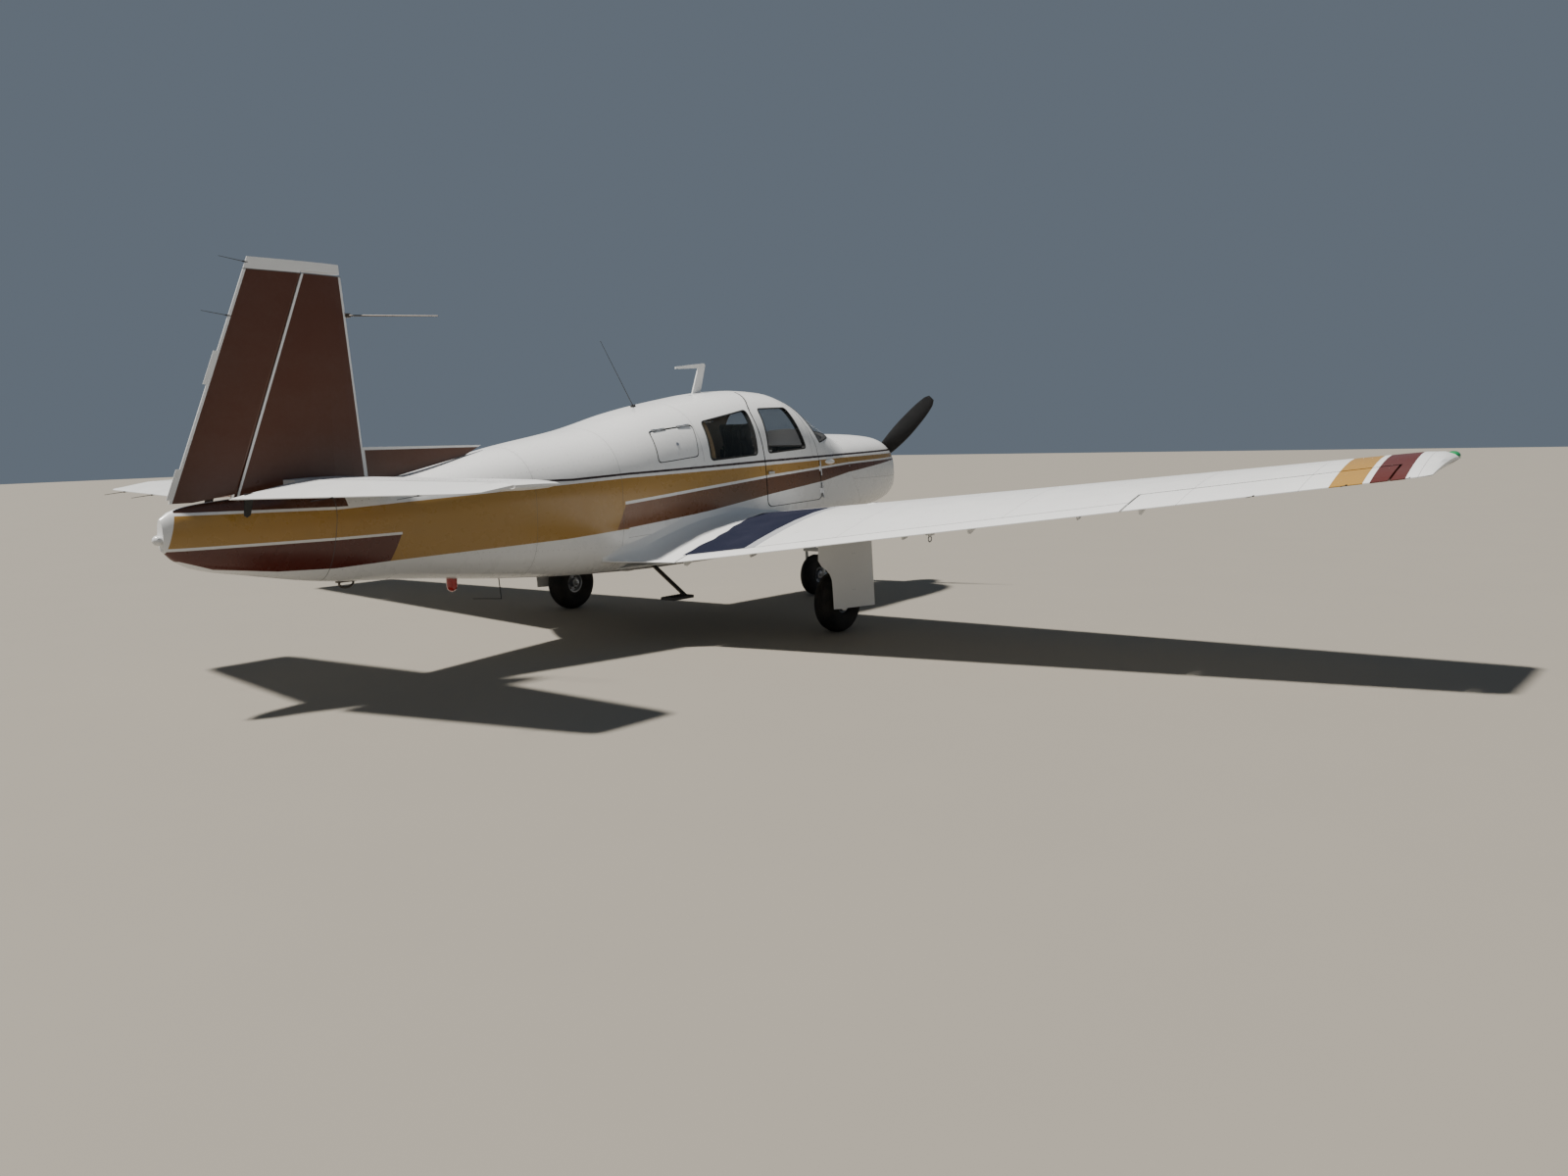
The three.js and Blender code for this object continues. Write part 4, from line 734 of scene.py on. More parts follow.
def place(piece, body, slot, *nodes):
    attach(piece, body)
    if nodes:
        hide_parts(*nodes)
    return piece


def assembled(name, pieces, body, slot, *nodes):
    return place(joined(name, pieces), body, slot, *nodes)


def nodeCopy(name, node, finish):
    # The CAD node's own shape, merged and shaded smooth, with a finish
    mesh = cadNodes[node].data.copy()
    mesh.materials.clear()
    mesh.materials.append(finishes[finish])
    mergeDoubles(mesh, 0.00005, 0.00005)
    mesh.polygons.foreach_set("material_index", [0] * len(mesh.polygons))
    if "custom_normal" in mesh.attributes:
        mesh.attributes.remove(mesh.attributes["custom_normal"])
    made = linked(name, mesh)
    shade(made, 30.0)
    return addModifier(made, "WEIGHTED_NORMAL", keep_sharp=True)


def surfaceOf(piece):
    work = bmesh.new()
    work.from_mesh(piece.data)
    tree = BVHTree.FromBMesh(work)
    work.free()
    return tree


# Camera: solved from the photograph, 1600 x 1200, focal length 1295 pixels
photoCamera = {"at": (-6.8214, -6.5651, 1.4317), "yaw": 0.6445, "pitch": 0.1203, "roll": -0.0254,
               "focal": 1295.435, "width": 1600, "sensor": 36.0}


def addCamera(spec):
    yaw, pitch, roll = spec["yaw"], spec["pitch"], spec["roll"]
    look = Vector((cos(yaw) * cos(pitch), sin(yaw) * cos(pitch), -sin(pitch)))
    level = Vector((sin(yaw), -cos(yaw), 0.0))
    up = level.cross(look)
    right = level * cos(roll) + up * sin(roll)
    up = up * cos(roll) - level * sin(roll)
    data = bpy.data.cameras.new("photoCamera")
    data.sensor_width = spec["sensor"]
    data.lens = spec["focal"] / spec["width"] * spec["sensor"]
    data.clip_end = 200.0
    camera = linked("photoCamera", data)
    turn = Matrix((right, up, -look)).transposed()
    camera.matrix_world = Matrix.Translation(spec["at"]) @ turn.to_4x4()
    bpy.context.scene.camera = camera


studio = {"floorHalf": 60.0, "floorColour": rgb(0.24, 0.22, 0.185), "floorFleck": 0.8,
          "sunPower": 7.5, "sunToward": (-0.26, 0.30, 0.92), "sunAngle": 4.0, "sunColour": (1.0, 0.96, 0.90),
          "skyPower": 0.19, "skyColour": rgb(0.66, 0.81, 1.0),
          "fillPower": 35.0, "fillAt": (-5.0, -10.0, 5.0), "fillSize": (9.0, 5.0),
          "fillToward": (0.0, 0.0, 0.8)}


def addLamp(name, kind, power, toward):
    # A lamp whose light comes from a direction
    data = bpy.data.lights.new(name, kind)
    data.energy = power
    lamp = linked(name, data)
    lamp.rotation_euler = Vector(toward).to_track_quat("Z", "Y").to_euler()
    return lamp


def addStudio(spec):
    floorFinish = Finish("studioFloor")
    fleck = floorFinish.noise(1.2, 4.0, 0.6)
    dark = darker(spec["floorColour"], spec["floorFleck"])
    colour = floorFinish.mix(fleck * 0.25, spec["floorColour"], dark)
    finishes["floor"] = floorFinish.surface(Base_Color=colour, Roughness=0.85)
    half = spec["floorHalf"]
    corners = [(-half, -half, 0), (half, -half, 0), (half, half, 0), (-half, half, 0)]
    objectFrom("studioFloor", corners, [(0, 1, 2, 3)], "floor")
    world = bpy.data.worlds.new("studioWorld")
    world.use_nodes = True
    sky = world.node_tree.nodes["Background"].inputs
    sky["Color"].default_value = spec["skyColour"]
    sky["Strength"].default_value = spec["skyPower"]
    bpy.context.scene.world = world
    sun = addLamp("softSun", "SUN", spec["sunPower"], spec["sunToward"])
    sun.data.angle = radians(spec["sunAngle"])
    sun.data.color = spec["sunColour"]
    fillFrom = Vector(spec["fillAt"]) - Vector(spec["fillToward"])
    fill = addLamp("sideFill", "AREA", spec["fillPower"], fillFrom)
    fill.location = spec["fillAt"]
    fill.data.shape = "RECTANGLE"
    fill.data.size, fill.data.size_y = spec["fillSize"]


addCamera(photoCamera)
addStudio(studio)
print("stage: camera and studio")


# Body skin, with its windows and doors
skinSpec = {"around": 96, "step": 0.045, "wall": 0.030, "floorZ": 0.850}
outlines = {
    "frontWindow": [(1.018, 1.294), (1.521, 1.321), (1.441, 1.644), (1.057, 1.635)],
    "rearWindow": [(0.339, 1.259), (0.879, 1.286), (0.906, 1.626), (0.360, 1.538)],
    "windshield": [(1.745, 1.362), (1.965, 1.406), (2.068, 1.462), (2.200, 1.600), (1.760, 1.960),
                   (1.600, 1.762), (1.630, 1.650)],
    "door": [(0.975, 0.874), (1.712, 0.898), (1.668, 1.385), (1.565, 1.660), (1.480, 1.820), (1.110, 1.820),
             (0.938, 1.625), (0.955, 1.240)],
    "baggage": [(-0.194, 1.252), (0.212, 1.288), (0.256, 1.523), (-0.169, 1.479)],
}
cornerSizes = {"frontWindow": 0.032, "rearWindow": 0.032, "windshield": 0.020, "door": 0.060,
               "baggage": 0.030}
leafGaps = {"door": [0.005, 0.005, 0.005, 0.005, 0.008, 0.008, 0.010, 0.010],
            "baggage": [0.006, 0.006, 0.010, 0.008]}
cowlSeam = [(2.085, 1.600), (2.112, 1.155), (2.211, 0.991), (2.345, 0.820), (2.470, 0.600)]
rightSide = (-0.75, -0.10)
leftSide = (0.10, 0.75)
bothSides = (-0.75, 0.75)
doorSide = (-0.75, -0.186)


def ringAt(x, inset=0.0):
    return [skinPoint(x, turn, inset) for turn in turns(skinSpec["around"])]


def stations(fromX, toX):
    steps = max(2, round(abs(fromX - toX) / skinSpec["step"]))
    return [fromX + (toX - fromX) * i / steps for i in range(steps + 1)]


def bodySolid(name, fromX, toX, finish, inset=0.0):
    return loftRings(name, [ringAt(x, inset) for x in stations(fromX, toX)], finish, 0)


def bodyShell(name, fromX, toX, wall, liner="liner"):
    # The outer skin with the inner one taken out, open at both ends
    shell = bodySolid(name, fromX, toX, "body")
    return cut(shell, [bodySolid("cutter", fromX + 0.05, toX - 0.05, liner, wall)])


def opening(key, sides, margins=0.0):
    corners = shrunk(outlines[key], margins) if margins else outlines[key]
    return prism("cutter", roundedCorners(corners, cornerSizes[key]), *sides)


def boxCutter(low, high, finish="seal"):
    return block("cutter", low, high, finish, 0)


def swingRelief(edge, hingePoint, axis):
    # Cutter that keeps a leaf's aft edge clear of its jamb as it swings
    reach = {"out": 0.030, "in": 0.190, "aft": Vector((0.150, 0, 0))}
    rings = []
    for x, z in edge:
        at = skinSide(x, z)
        sweep = (at - Vector(hingePoint)).cross(Vector(axis)).normalized()
        inner = at + sweep * reach["in"]
        outer = at - sweep * reach["out"]
        rings.append([outer, inner, inner - reach["aft"], outer - reach["aft"]])
    return loftRings("cutter", rings, "seal", 0)


def knuckleSet(at, axis, toDoor, toFrame, reach):
    # Hinge knuckles on an axis: two on the frame with the door's own between them
    spec = {"length": 0.040, "radius": 0.006, "play": 0.0004, "half": 0.003}
    axis = Vector(axis).normalized()

    def knuckle(start, end, toward):
        ends = [Vector(at) + axis * d for d in (start, end)]
        arm = Vector(toward) - axis * Vector(toward).dot(axis)
        arm = arm.normalized() * reach
        half = axis.cross(arm).normalized() * spec["half"]
        rings = [[p + half * s + arm * t for s, t in ((-1, 0), (1, 0), (1, 1), (-1, 1))] for p in ends]
        return [rodBetween("knuckle", *ends, spec["radius"], "bare"), loftRings("arm", rings, "bare")]

    half = spec["length"] / 2
    inner = half + spec["play"]
    frameSide = knuckle(-3 * half, -inner, toFrame) + knuckle(inner, 3 * half, toFrame)
    return knuckle(-half, half, toDoor), frameSide


doorHinge = {"low": (1.713, -0.5895, 0.898), "high": (1.669, -0.5635, 1.385)}
doorAxis = Vector(doorHinge["high"]) - Vector(doorHinge["low"])
doorKnuckles = [knuckleSet(between(doorHinge["low"], doorHinge["high"], share), doorAxis, (-1, 0.75, 0),
                           (1, 0.75, 0), 0.036) for share in (0.15, 0.52)]
bagProud = 0.009
bagFront = skinSide(0.256, 1.523, -1, bagProud)
bagBack = skinSide(-0.169, 1.479, -1, bagProud)
bagAxis = bagFront - bagBack
bagKnuckles = [knuckleSet(bagBack.lerp(bagFront, share), bagAxis, (0, -0.1, -1), (0, 1, 0.3), 0.030)
               for share in (0.22, 0.78)]


def knuckleRelief(share):
    # A notch in the hatch's frame where its knuckle turns
    at = bagBack.lerp(bagFront, share)
    along = bagAxis.normalized() * 0.0203
    return rodBetween("cutter", at - along, at + along, 0.0085, "white")


def bodyPlate(x0, x1, finish, top=None):
    # A bulkhead just inside the skin between two stations, up to a height if one is given
    plate = bodySolid("plate", x0, x1, finish, skinSpec["wall"] + 0.001)
    return cut(plate, [boxCutter((x0 - 1, -1, top), (x1 + 1, 1, 2.5))] if top else [])


wellSpec = {"low": (1.64, -0.15, 0.40), "high": (2.5, 0.15, 0.79)}


def cabinFloor():
    # Carpeted floor between the walls, and the walls of the nose wheel's well
    z = skinSpec["floorZ"]
    rings = []
    for x in stations(-0.535, 1.998):
        y = skinSide(x, z).y + skinSpec["wall"] - 0.002
        rings.append([(x, y, z), (x, -y, z), (x, -y, z - 0.02), (x, y, z - 0.02)])
    well = [((1.634, -0.156, 0.790), (2.40, 0.156, 0.796)), ((1.634, -0.156, 0.60), (1.640, 0.156, 0.790)),
            ((1.634, 0.150, 0.66), (2.33, 0.156, 0.790)), ((1.634, -0.156, 0.66), (2.33, -0.150, 0.790))]
    return [loftRings("floor", rings, "carpet", 30.0)] + [block("well", *ends, "white", 0) for ends in well]


behindSeam = cowlSeam + [(-0.6, 0.3), (-0.6, 2.0), (2.085, 2.0)]
cabin = bodyShell("cabinSkin", 2.45, -0.55, skinSpec["wall"])
cut(cabin, [prism("cutter", behindSeam, -1.0, 1.0)], "INTERSECT")
cut(cabin, [
    opening("frontWindow", leftSide),
    opening("rearWindow", bothSides),
    opening("windshield", bothSides),
    opening("door", doorSide),
    opening("baggage", rightSide),
    knuckleRelief(0.22),
    knuckleRelief(0.78),
    boxCutter(wellSpec["low"], wellSpec["high"]),
])
shade(cabin, 28.0)
frameKnuckles = [part for hinge in doorKnuckles + bagKnuckles for part in hinge[1]]
plates = [bodyPlate(-0.535, -0.549, "liner"), bodyPlate(1.985, 1.975, "bare", 0.83)]
cabin = assembled("cabinSkin", [cabin] + plates + cabinFloor() + frameKnuckles,
                  "airframe", "white_paint", "cabin_shell")

doorTop, doorUpper, doorLower = shrunk(outlines["door"], leafGaps["door"][6] - 0.0005)[5:]
roundStart = between(doorUpper, doorLower, 0.15)
roundEnd = between(doorUpper, doorTop, 0.22)
doorAft = [between(doorLower, doorUpper, share) for share in (0, 0.5)]
doorAft += [roundStart, between(doorUpper, between(roundStart, roundEnd, 0.5), 0.5), roundEnd]
doorAft += [between(doorUpper, doorTop, share) for share in (0.3, 0.4, 0.5, 0.58, 0.65, 0.71, 0.75, 0.78)]
doorLeaf = bodyShell("doorSkin", 1.80, 0.88, skinSpec["wall"])
cut(doorLeaf, [opening("door", (-0.75, -0.192), leafGaps["door"])], "INTERSECT")
cut(doorLeaf, [swingRelief(doorAft, doorHinge["low"], doorAxis), opening("frontWindow", rightSide)])
shade(doorLeaf, 28.0)
assembled("doorSkin", [doorLeaf] + [part for hinge in doorKnuckles for part in hinge[0]],
          "door_group", "white_paint", "cabin_door")

bagCorners = shrunk(outlines["baggage"], 0.006)
bagAft = [between(bagCorners[0], bagCorners[3], share) for share in (-0.1, 0.5, 1)]
bagLeaf = bodyShell("baggageSkin", 0.32, -0.26, skinSpec["wall"])
cut(bagLeaf, [opening("baggage", rightSide, leafGaps["baggage"])], "INTERSECT")
cut(bagLeaf, [swingRelief(bagAft, bagFront, -bagAxis)])
shade(bagLeaf, 28.0)
latchAt = skinSide(0.033, 1.384)
latchProfile = [(0, -0.004), (0.013, -0.004), (0.013, 0.002), (0.009, 0.004), (0, 0.004)]
bagLatch = lathed("latch", latchProfile, latchAt, skinNormal(latchAt), "bare", 24)
assembled("baggageSkin", [bagLeaf, bagLatch] + [part for hinge in bagKnuckles for part in hinge[0]],
          "baggage_hatch", "white_paint", "baggage_door")
print("stage: cabin, door and hatch")

# Tail cone and tail section, open inside
coneWall = 0.008
tailCone = bodyShell("tailConeSkin", -0.5503, -2.53, coneWall, "bare")
tailSection = bodySolid("tailSectionSkin", -2.5303, -3.485, "body")
cut(tailSection, [bodySolid("cutter", -2.48, -3.440, "bare", coneWall)])
for piece, node in ((tailCone, "tail_cone"), (tailSection, "tail_section")):
    shade(piece, 28.0)
    place(piece, "airframe", "white_paint", node)

# Cowling with its air inlets, outlet and spinner opening
cowlSpec = {"skin": 0.012, "front": 3.172, "shaftZ": 1.100, "shaftHole": 0.075}
inlets = [
    # y0, y1, z0, z1, corner radius
    (0.165, 0.275, 1.075, 1.165, 0.032), (-0.275, -0.165, 1.075, 1.165, 0.032),
    (-0.090, 0.090, 0.880, 0.935, 0.020),
]


def roundedTunnel(y0, y1, z0, z1, radius):
    corners = roundedCorners([(y0, z0), (y1, z0), (y1, z1), (y0, z1)], radius)
    return loftRings("cutter", [[(x, p.x, p.y) for p in corners] for x in (3.10, 3.30)], "black", 0)


cowl = bodySolid("cowlSkin", 3.19, 1.95, "cowl")
aheadOfSeam = [(x + 0.0009, z) for x, z in cowlSeam] + [(3.4, 0.5), (3.4, 1.7)]
cut(cowl, [prism("cutter", aheadOfSeam, -1.0, 1.0)], "INTERSECT")
addBevel(cowl, 0.010, 3, 50.0)
shaftEnds = [(x, 0, cowlSpec["shaftZ"]) for x in (3.1, 3.3)]
cut(cowl, [
    bodySolid("cutter", cowlSpec["front"], 1.90, "black", cowlSpec["skin"]),
    rodBetween("cutter", *shaftEnds, cowlSpec["shaftHole"], "black", sides=40),
    *[roundedTunnel(*inlet) for inlet in inlets],
    boxCutter((2.43, 0.165, 0.60), (2.56, 0.330, 0.80), "black"),
    boxCutter(wellSpec["low"], wellSpec["high"], "white"),
])
shade(cowl, 28.0)
place(cowl, "airframe", "white_paint", "cowling")
print("stage: tail and cowling skins")

# Window glass, with dark seals round each pane
sealSpec = {"width": 0.013, "height": 0.0025, "spacing": 0.012, "grow": 0.0011}
for name, node, body in (
    ("windshieldGlass", "windshield", "airframe"),
    ("frontLeftGlass", "window_front_left", "airframe"),
    ("rearLeftGlass", "window_rear_left", "airframe"),
    ("rearRightGlass", "window_rear_right", "airframe"),
    ("doorGlass", "window_door", "door_group"),
):
    place(nodeCopy(name, node, "glass"), body, "clear_glass", node)


def densified(points, spacing, closed=True):
    result = []
    count = len(points)
    for i in range(count if closed else count - 1):
        a, b = Vector(points[i]), Vector(points[(i + 1) % count])
        steps = max(1, round((b - a).length / spacing))
        result += [a.lerp(b, k / steps) for k in range(steps)]
    return result if closed else result + [Vector(points[-1])]


def placesOnSide(points, side):
    # Points (x, z) put on the body's side, each with the outward normal there
    found = [skinSide(p[0], p[1], side) for p in points]
    return [(at, skinNormal(at)) for at in found]


def sealAlong(places):
    return stripAlong("seal", places, sealSpec["width"], sealSpec["height"], "seal")


def windowSeal(key, side):
    loop = roundedCorners(shrunk(outlines[key], -sealSpec["grow"]), cornerSizes[key])
    return sealAlong(placesOnSide(densified(loop, sealSpec["spacing"]), side))


def roofCrossing(start, end):
    # How far along an edge of the windshield's outline the body's top line is
    low, high = 0.0, 1.0
    for _ in range(40):
        middle = (low + high) / 2
        x, z = between(start, end, middle)
        low, high = (middle, high) if z < sectionAt(x)[0] else (low, middle)
    return low


def windshieldSeal():
    # From the middle of the bottom edge round one side to the middle of the rear edge, then the other side
    corners = outlines["windshield"]
    even = [1 - (k / 24) ** 2.8 for k in range(25)]   # gives even steps round the top

    def upTo(start, end):
        share = roofCrossing(start, end)
        return [between(start, end, share * step) for step in even]

    below = [corners[k] for k in (2, 1, 0, 6, 5)]
    sideways = [tuple(p) for p in densified(below, sealSpec["spacing"], closed=False)[1:-1]]
    half = placesOnSide(upTo(corners[2], corners[3]) + sideways + upTo(corners[5], corners[4]), -1)
    mirror = [(Vector((at.x, -at.y, at.z)), Vector((n.x, -n.y, n.z))) for at, n in half[::-1]]
    return sealAlong(half[1:-1] + mirror[1:-1])


seals = [windowSeal(*which) for which in (("frontWindow", 1), ("rearWindow", 1), ("rearWindow", -1))]
assembled("windowSeals", seals + [windshieldSeal()], "airframe", "panel_plastic")
place(windowSeal("frontWindow", -1), "door_group", "panel_plastic").name = "doorWindowSeal"
print("stage: glass and seals")

# Solids that keep their own shapes and get a finish each. A row with a % stands for left and right.
solidFinishes = [
    # piece, node, finish, slot, body
    ("wingSkin", "wing", "wing", "white_paint", "airframe"),
    ("flap%Skin", "flap_%", "white", "white_paint", "%_flap"),
    ("aileron%Skin", "aileron_%", "wing", "white_paint", "%_aileron"),
    ("fairing%", "wing_fairing_%", "white", "white_paint", "airframe"),
    ("stabilizerSkin", "stabilizer", "white", "white_paint", "airframe"),
    ("elevator%Skin", "elevator_%", "white", "white_paint", "%_elevator"),
    ("finSkin", "fin", "fin", "brown_paint", "airframe"),
    ("rudderSkin", "rudder", "rudder", "brown_paint", "rudder_group"),
    ("engineBlock", "engine", "iron", "engine_iron", "airframe"),
    ("exhaustPipe", "exhaust_pipe", "steel", "exhaust_steel", "airframe"),
    ("firewallSheet", "firewall", "bare", "bare_alloy", "airframe"),
    ("noseLeg", "nose_leg", "leg", "gear_steel", "airframe"),
    ("noseFork", "nose_fork", "leg", "gear_steel", "steering_fork"),
    ("noseDoor%", "nose_door_%", "white", "white_paint", "airframe"),
    ("mainLeg%", "main_leg_%", "leg", "gear_steel", "airframe"),
    ("legDoor%", "leg_door_%", "white", "white_paint", "airframe"),
    ("instrumentPanel", "instrument_panel", "panel", "panel_plastic", "airframe"),
    ("yoke%", "yoke_%", "black", "panel_plastic", "airframe"),
    ("boardingStep", "boarding_step", "black", "bare_alloy", "airframe"),
    ("commAerial", "comm_aerial", "white", "aerial_plastic", "airframe"),
    ("roofWhip", "roof_whip", "black", "panel_plastic", "airframe"),
    ("bellyAerial", "belly_aerial", "black", "panel_plastic", "airframe"),
    ("beaconLamp", "beacon", "red", "beacon_red", "airframe"),
    ("tailLamp", "tail_light", "clear", "clear_glass", "airframe"),
    ("navAerial", "nav_aerial", "steel", "bare_alloy", "airframe"),
    ("doorHandle", "door_handle", "bare", "bare_alloy", "door_group"),
]
skins = {}
for row in solidFinishes:
    for _, hand in hands if "%" in row[0] else hands[:1]:
        name = row[0].replace("%", hand)
        node, finish, slot, body = [word.replace("%", hand.lower()) for word in row[1:]]
        skins[name] = place(nodeCopy(name, node, finish), body, slot, node)
print("stage: solids dressed")


# Propeller blades and spinner
propeller = {"angle": 42.0, "hub": 0.062, "bore": 0.039, "rows": 34, "around": 28}
hubAt = Vector((3.270, 0, 1.100))
ahead = Vector((1, 0, 0))
bladeRows = [
    # radius, chord, thickness, pitch in degrees
    (0.048, 0.060, 0.056, 52), (0.165, 0.096, 0.044, 46), (0.320, 0.148, 0.026, 36),
    (0.520, 0.166, 0.018, 27), (0.740, 0.148, 0.013, 20), (0.890, 0.108, 0.009, 17),
    (0.940, 0.058, 0.006, 16),
]
spinner = {"base": 3.222, "tip": 3.530, "radius": 0.165, "wall": 0.005, "hole": 0.062}


def bladeOut(angle):
    return Vector((0, -cos(radians(angle)), sin(radians(angle))))


def bladeShape(angle):
    out = bladeOut(angle)
    sweep = ahead.cross(out)
    rings = []
    for i in range(propeller["rows"] + 1):
        share = sin(pi / 2 * i / propeller["rows"])   # rows close up towards the tip
        radius = bladeRows[0][0] + share * (bladeRows[-1][0] - bladeRows[0][0])
        chord, thickness, pitch = smoothRow(bladeRows, radius)
        toLeading = sweep * cos(radians(pitch)) + ahead * sin(radians(pitch))
        toFace = out.cross(toLeading)
        rings.append([hubAt + out * radius + toLeading * (cos(t) * chord / 2 + chord * 0.05)
                      + toFace * (sin(t) * thickness / 2 * (1 + 0.35 * cos(t)))
                      for t in turns(propeller["around"])])
    return loftRings("blade", rings, "blade", 50.0)


hubProfile = [(propeller["bore"], -0.065), (0.050, -0.065), (propeller["hub"], -0.052),
              (propeller["hub"], 0.050), (0.052, 0.070), (propeller["bore"], 0.070)]
hub = lathed("hub", hubProfile, hubAt, ahead, "bare")
bladeAngles = [propeller["angle"] + turn for turn in (0, 180)]
assembled("propellerBlades", [hub] + [bladeShape(angle) for angle in bladeAngles],
          "propeller_group", "blade_paint", "propeller")


def spinnerProfile(inset):
    length = spinner["tip"] - spinner["base"] - inset
    shares = [sin(pi / 2 * i / 30) for i in range(31)]
    return [((spinner["radius"] - inset) * sqrt(max(0.0, 1 - s ** 1.7)), length * s) for s in shares]


plateEdge = spinner["radius"] - spinner["wall"]
plateHole = propeller["hub"] + 0.001
shellProfile = [(plateHole, 0), (plateEdge, 0)] + spinnerProfile(0)
shellProfile += spinnerProfile(spinner["wall"])[::-1][:-1] + [(plateEdge, 0.006), (plateHole, 0.006)]
spinnerShell = lathed("spinnerShell", shellProfile, (spinner["base"], 0, hubAt.z), ahead, "white", 64)
cut(spinnerShell, [rodBetween("cutter", hubAt + bladeOut(angle) * 0.08, hubAt + bladeOut(angle) * 0.24,
                              spinner["hole"], "black", sides=32) for angle in bladeAngles])
shade(spinnerShell, 30.0)
place(spinnerShell, "propeller_group", "white_paint", "spinner")
print("stage: propeller")

# Wheels, tyres and brakes
wheelSpecs = {
    "nose": {"at": (2.397, 0.0, 0.180), "radius": 0.180, "width": 0.130, "rim": 0.068, "bore": 0.013},
    "left": {"at": (0.720, 1.380, 0.222), "radius": 0.222, "width": 0.160, "rim": 0.082, "bore": 0.015},
    "right": {"at": (0.720, -1.380, 0.222), "radius": 0.222, "width": 0.160, "rim": 0.082, "bore": 0.015},
}
treadSpec = {"depth": 0.004, "ribs": (0.25, 0.17, 0.12, 0.05)}


def softened(points, rounds=2):
    # Cuts each corner of an open line, keeping its ends
    for _ in range(rounds):
        middle = [between(a, b, share) for a, b in zip(points, points[1:]) for share in (0.25, 0.75)]
        points = [points[0]] + middle[1:-1] + [points[-1]]
    return points


def mirroredProfile(half):
    return half + [(radius, -across) for radius, across in half[::-1]]


def tyreShape(spec):
    side, radius, rim = spec["width"] / 2, spec["radius"], spec["rim"]
    wall = softened([(rim + 0.0005, side * 0.62), (rim + 0.014, side * 0.84), ((radius + rim) / 2, side),
                     (radius * 0.86, side * 0.93), (radius * 0.95, side * 0.7), (radius, side * 0.3)])
    deep = radius - treadSpec["depth"]
    ribs = treadSpec["ribs"]
    tread = [(depth, side * rib) for depth, rib in zip((deep, deep, radius, radius), ribs)]
    tread.append((deep, side * ribs[-1] * 0.4))
    return lathed("tyre", mirroredProfile(wall + tread), spec["at"], (0, 1, 0), "rubber", 72)


def wheelShape(spec):
    side, rim, bore = spec["width"] / 2, spec["rim"], spec["bore"]
    half = [(bore, side * 0.78), (bore + 0.018, side * 0.78), (bore + 0.022, side * 0.74),
            (bore + 0.024, side * 0.2), (rim - 0.014, side * 0.2), (rim - 0.011, side * 0.3),
            (rim - 0.009, side * 0.55), (rim, side * 0.6)]
    parts = [lathed("wheel", mirroredProfile(half), spec["at"], (0, 1, 0), "alloy", 56)]
    reach = (bore + rim + 0.010) / 2
    for sign in (-1, 1):
        for turn in turns(6):
            start = Vector(spec["at"]) + Vector((reach * cos(turn), sign * side * 0.19, reach * sin(turn)))
            end = start + Vector((0, sign * 0.011, 0))
            parts.append(rodBetween("nut", start, end, 0.0065, "steel", sides=6))
    return parts


brakeDisc = [(0.026, 0.058), (0.064, 0.058), (0.066, 0.060), (0.064, 0.063), (0.026, 0.063)]
for name, spec in wheelSpecs.items():
    group = name + "_wheel_group"
    place(tyreShape(spec), group, "tyre_rubber", "tyre_" + name).name = "tyre" + name.capitalize()
    parts = wheelShape(spec)
    if name != "nose":
        parts.append(lathed("disc", brakeDisc, spec["at"], (0, copysign(1.0, spec["at"][1]), 0), "bare"))
    assembled("wheel" + name.capitalize(), parts, group, "wheel_alloy", "wheel_" + name)


def axleNut(at, axis, radius=0.024):
    profile = [(0, 0), (radius, 0), (radius, 0.004), (radius * 0.72, 0.007), (radius * 0.72, 0.014),
               (radius * 0.4, 0.018), (0, 0.018)]
    return lathed("nut", profile, at, axis, "bare", 24)


def discStack(start, end, count, radius):
    # Rubber shock discs with steel washers between them
    start, end = Vector(start), Vector(end)
    along = (end - start).normalized()
    pitch = (end - start).length / count
    parts = []
    for k in range(count):
        at = start + along * (pitch * k)
        body = [(radius * out, pitch * up) for out, up in ((0, 0.08), (0.88, 0.08), (1, 0.3), (1, 0.62),
                                                           (0.88, 0.84), (0, 0.84))]
        washer = [(radius * out, pitch * up) for out, up in ((0, -0.08), (1.04, -0.08), (1.04, 0.08),
                                                             (0, 0.08))]
        parts.append(lathed("disc", body, at, along, "rubber", 28))
        parts.append(lathed("washer", washer, at, along, "steel", 28))
    return parts


# The left leg's brake: low and high corners of its pads, bridge and arm, and the line of its pipe
brakeBlocks = [((0.655, 1.4465, 0.245), (0.690, 1.476, 0.300)),
               ((0.655, 1.430, 0.245), (0.690, 1.4355, 0.300)),
               ((0.642, 1.430, 0.236), (0.6515, 1.476, 0.308)),
               ((0.646, 1.466, 0.262), (0.705, 1.490, 0.285))]
brakePipe = [(0.670, 1.472, 0.300), (0.680, 1.472, 0.36), (0.690, 1.492, 0.42), (0.6925, 1.492, 0.56),
             (0.695, 1.492, 0.70)]


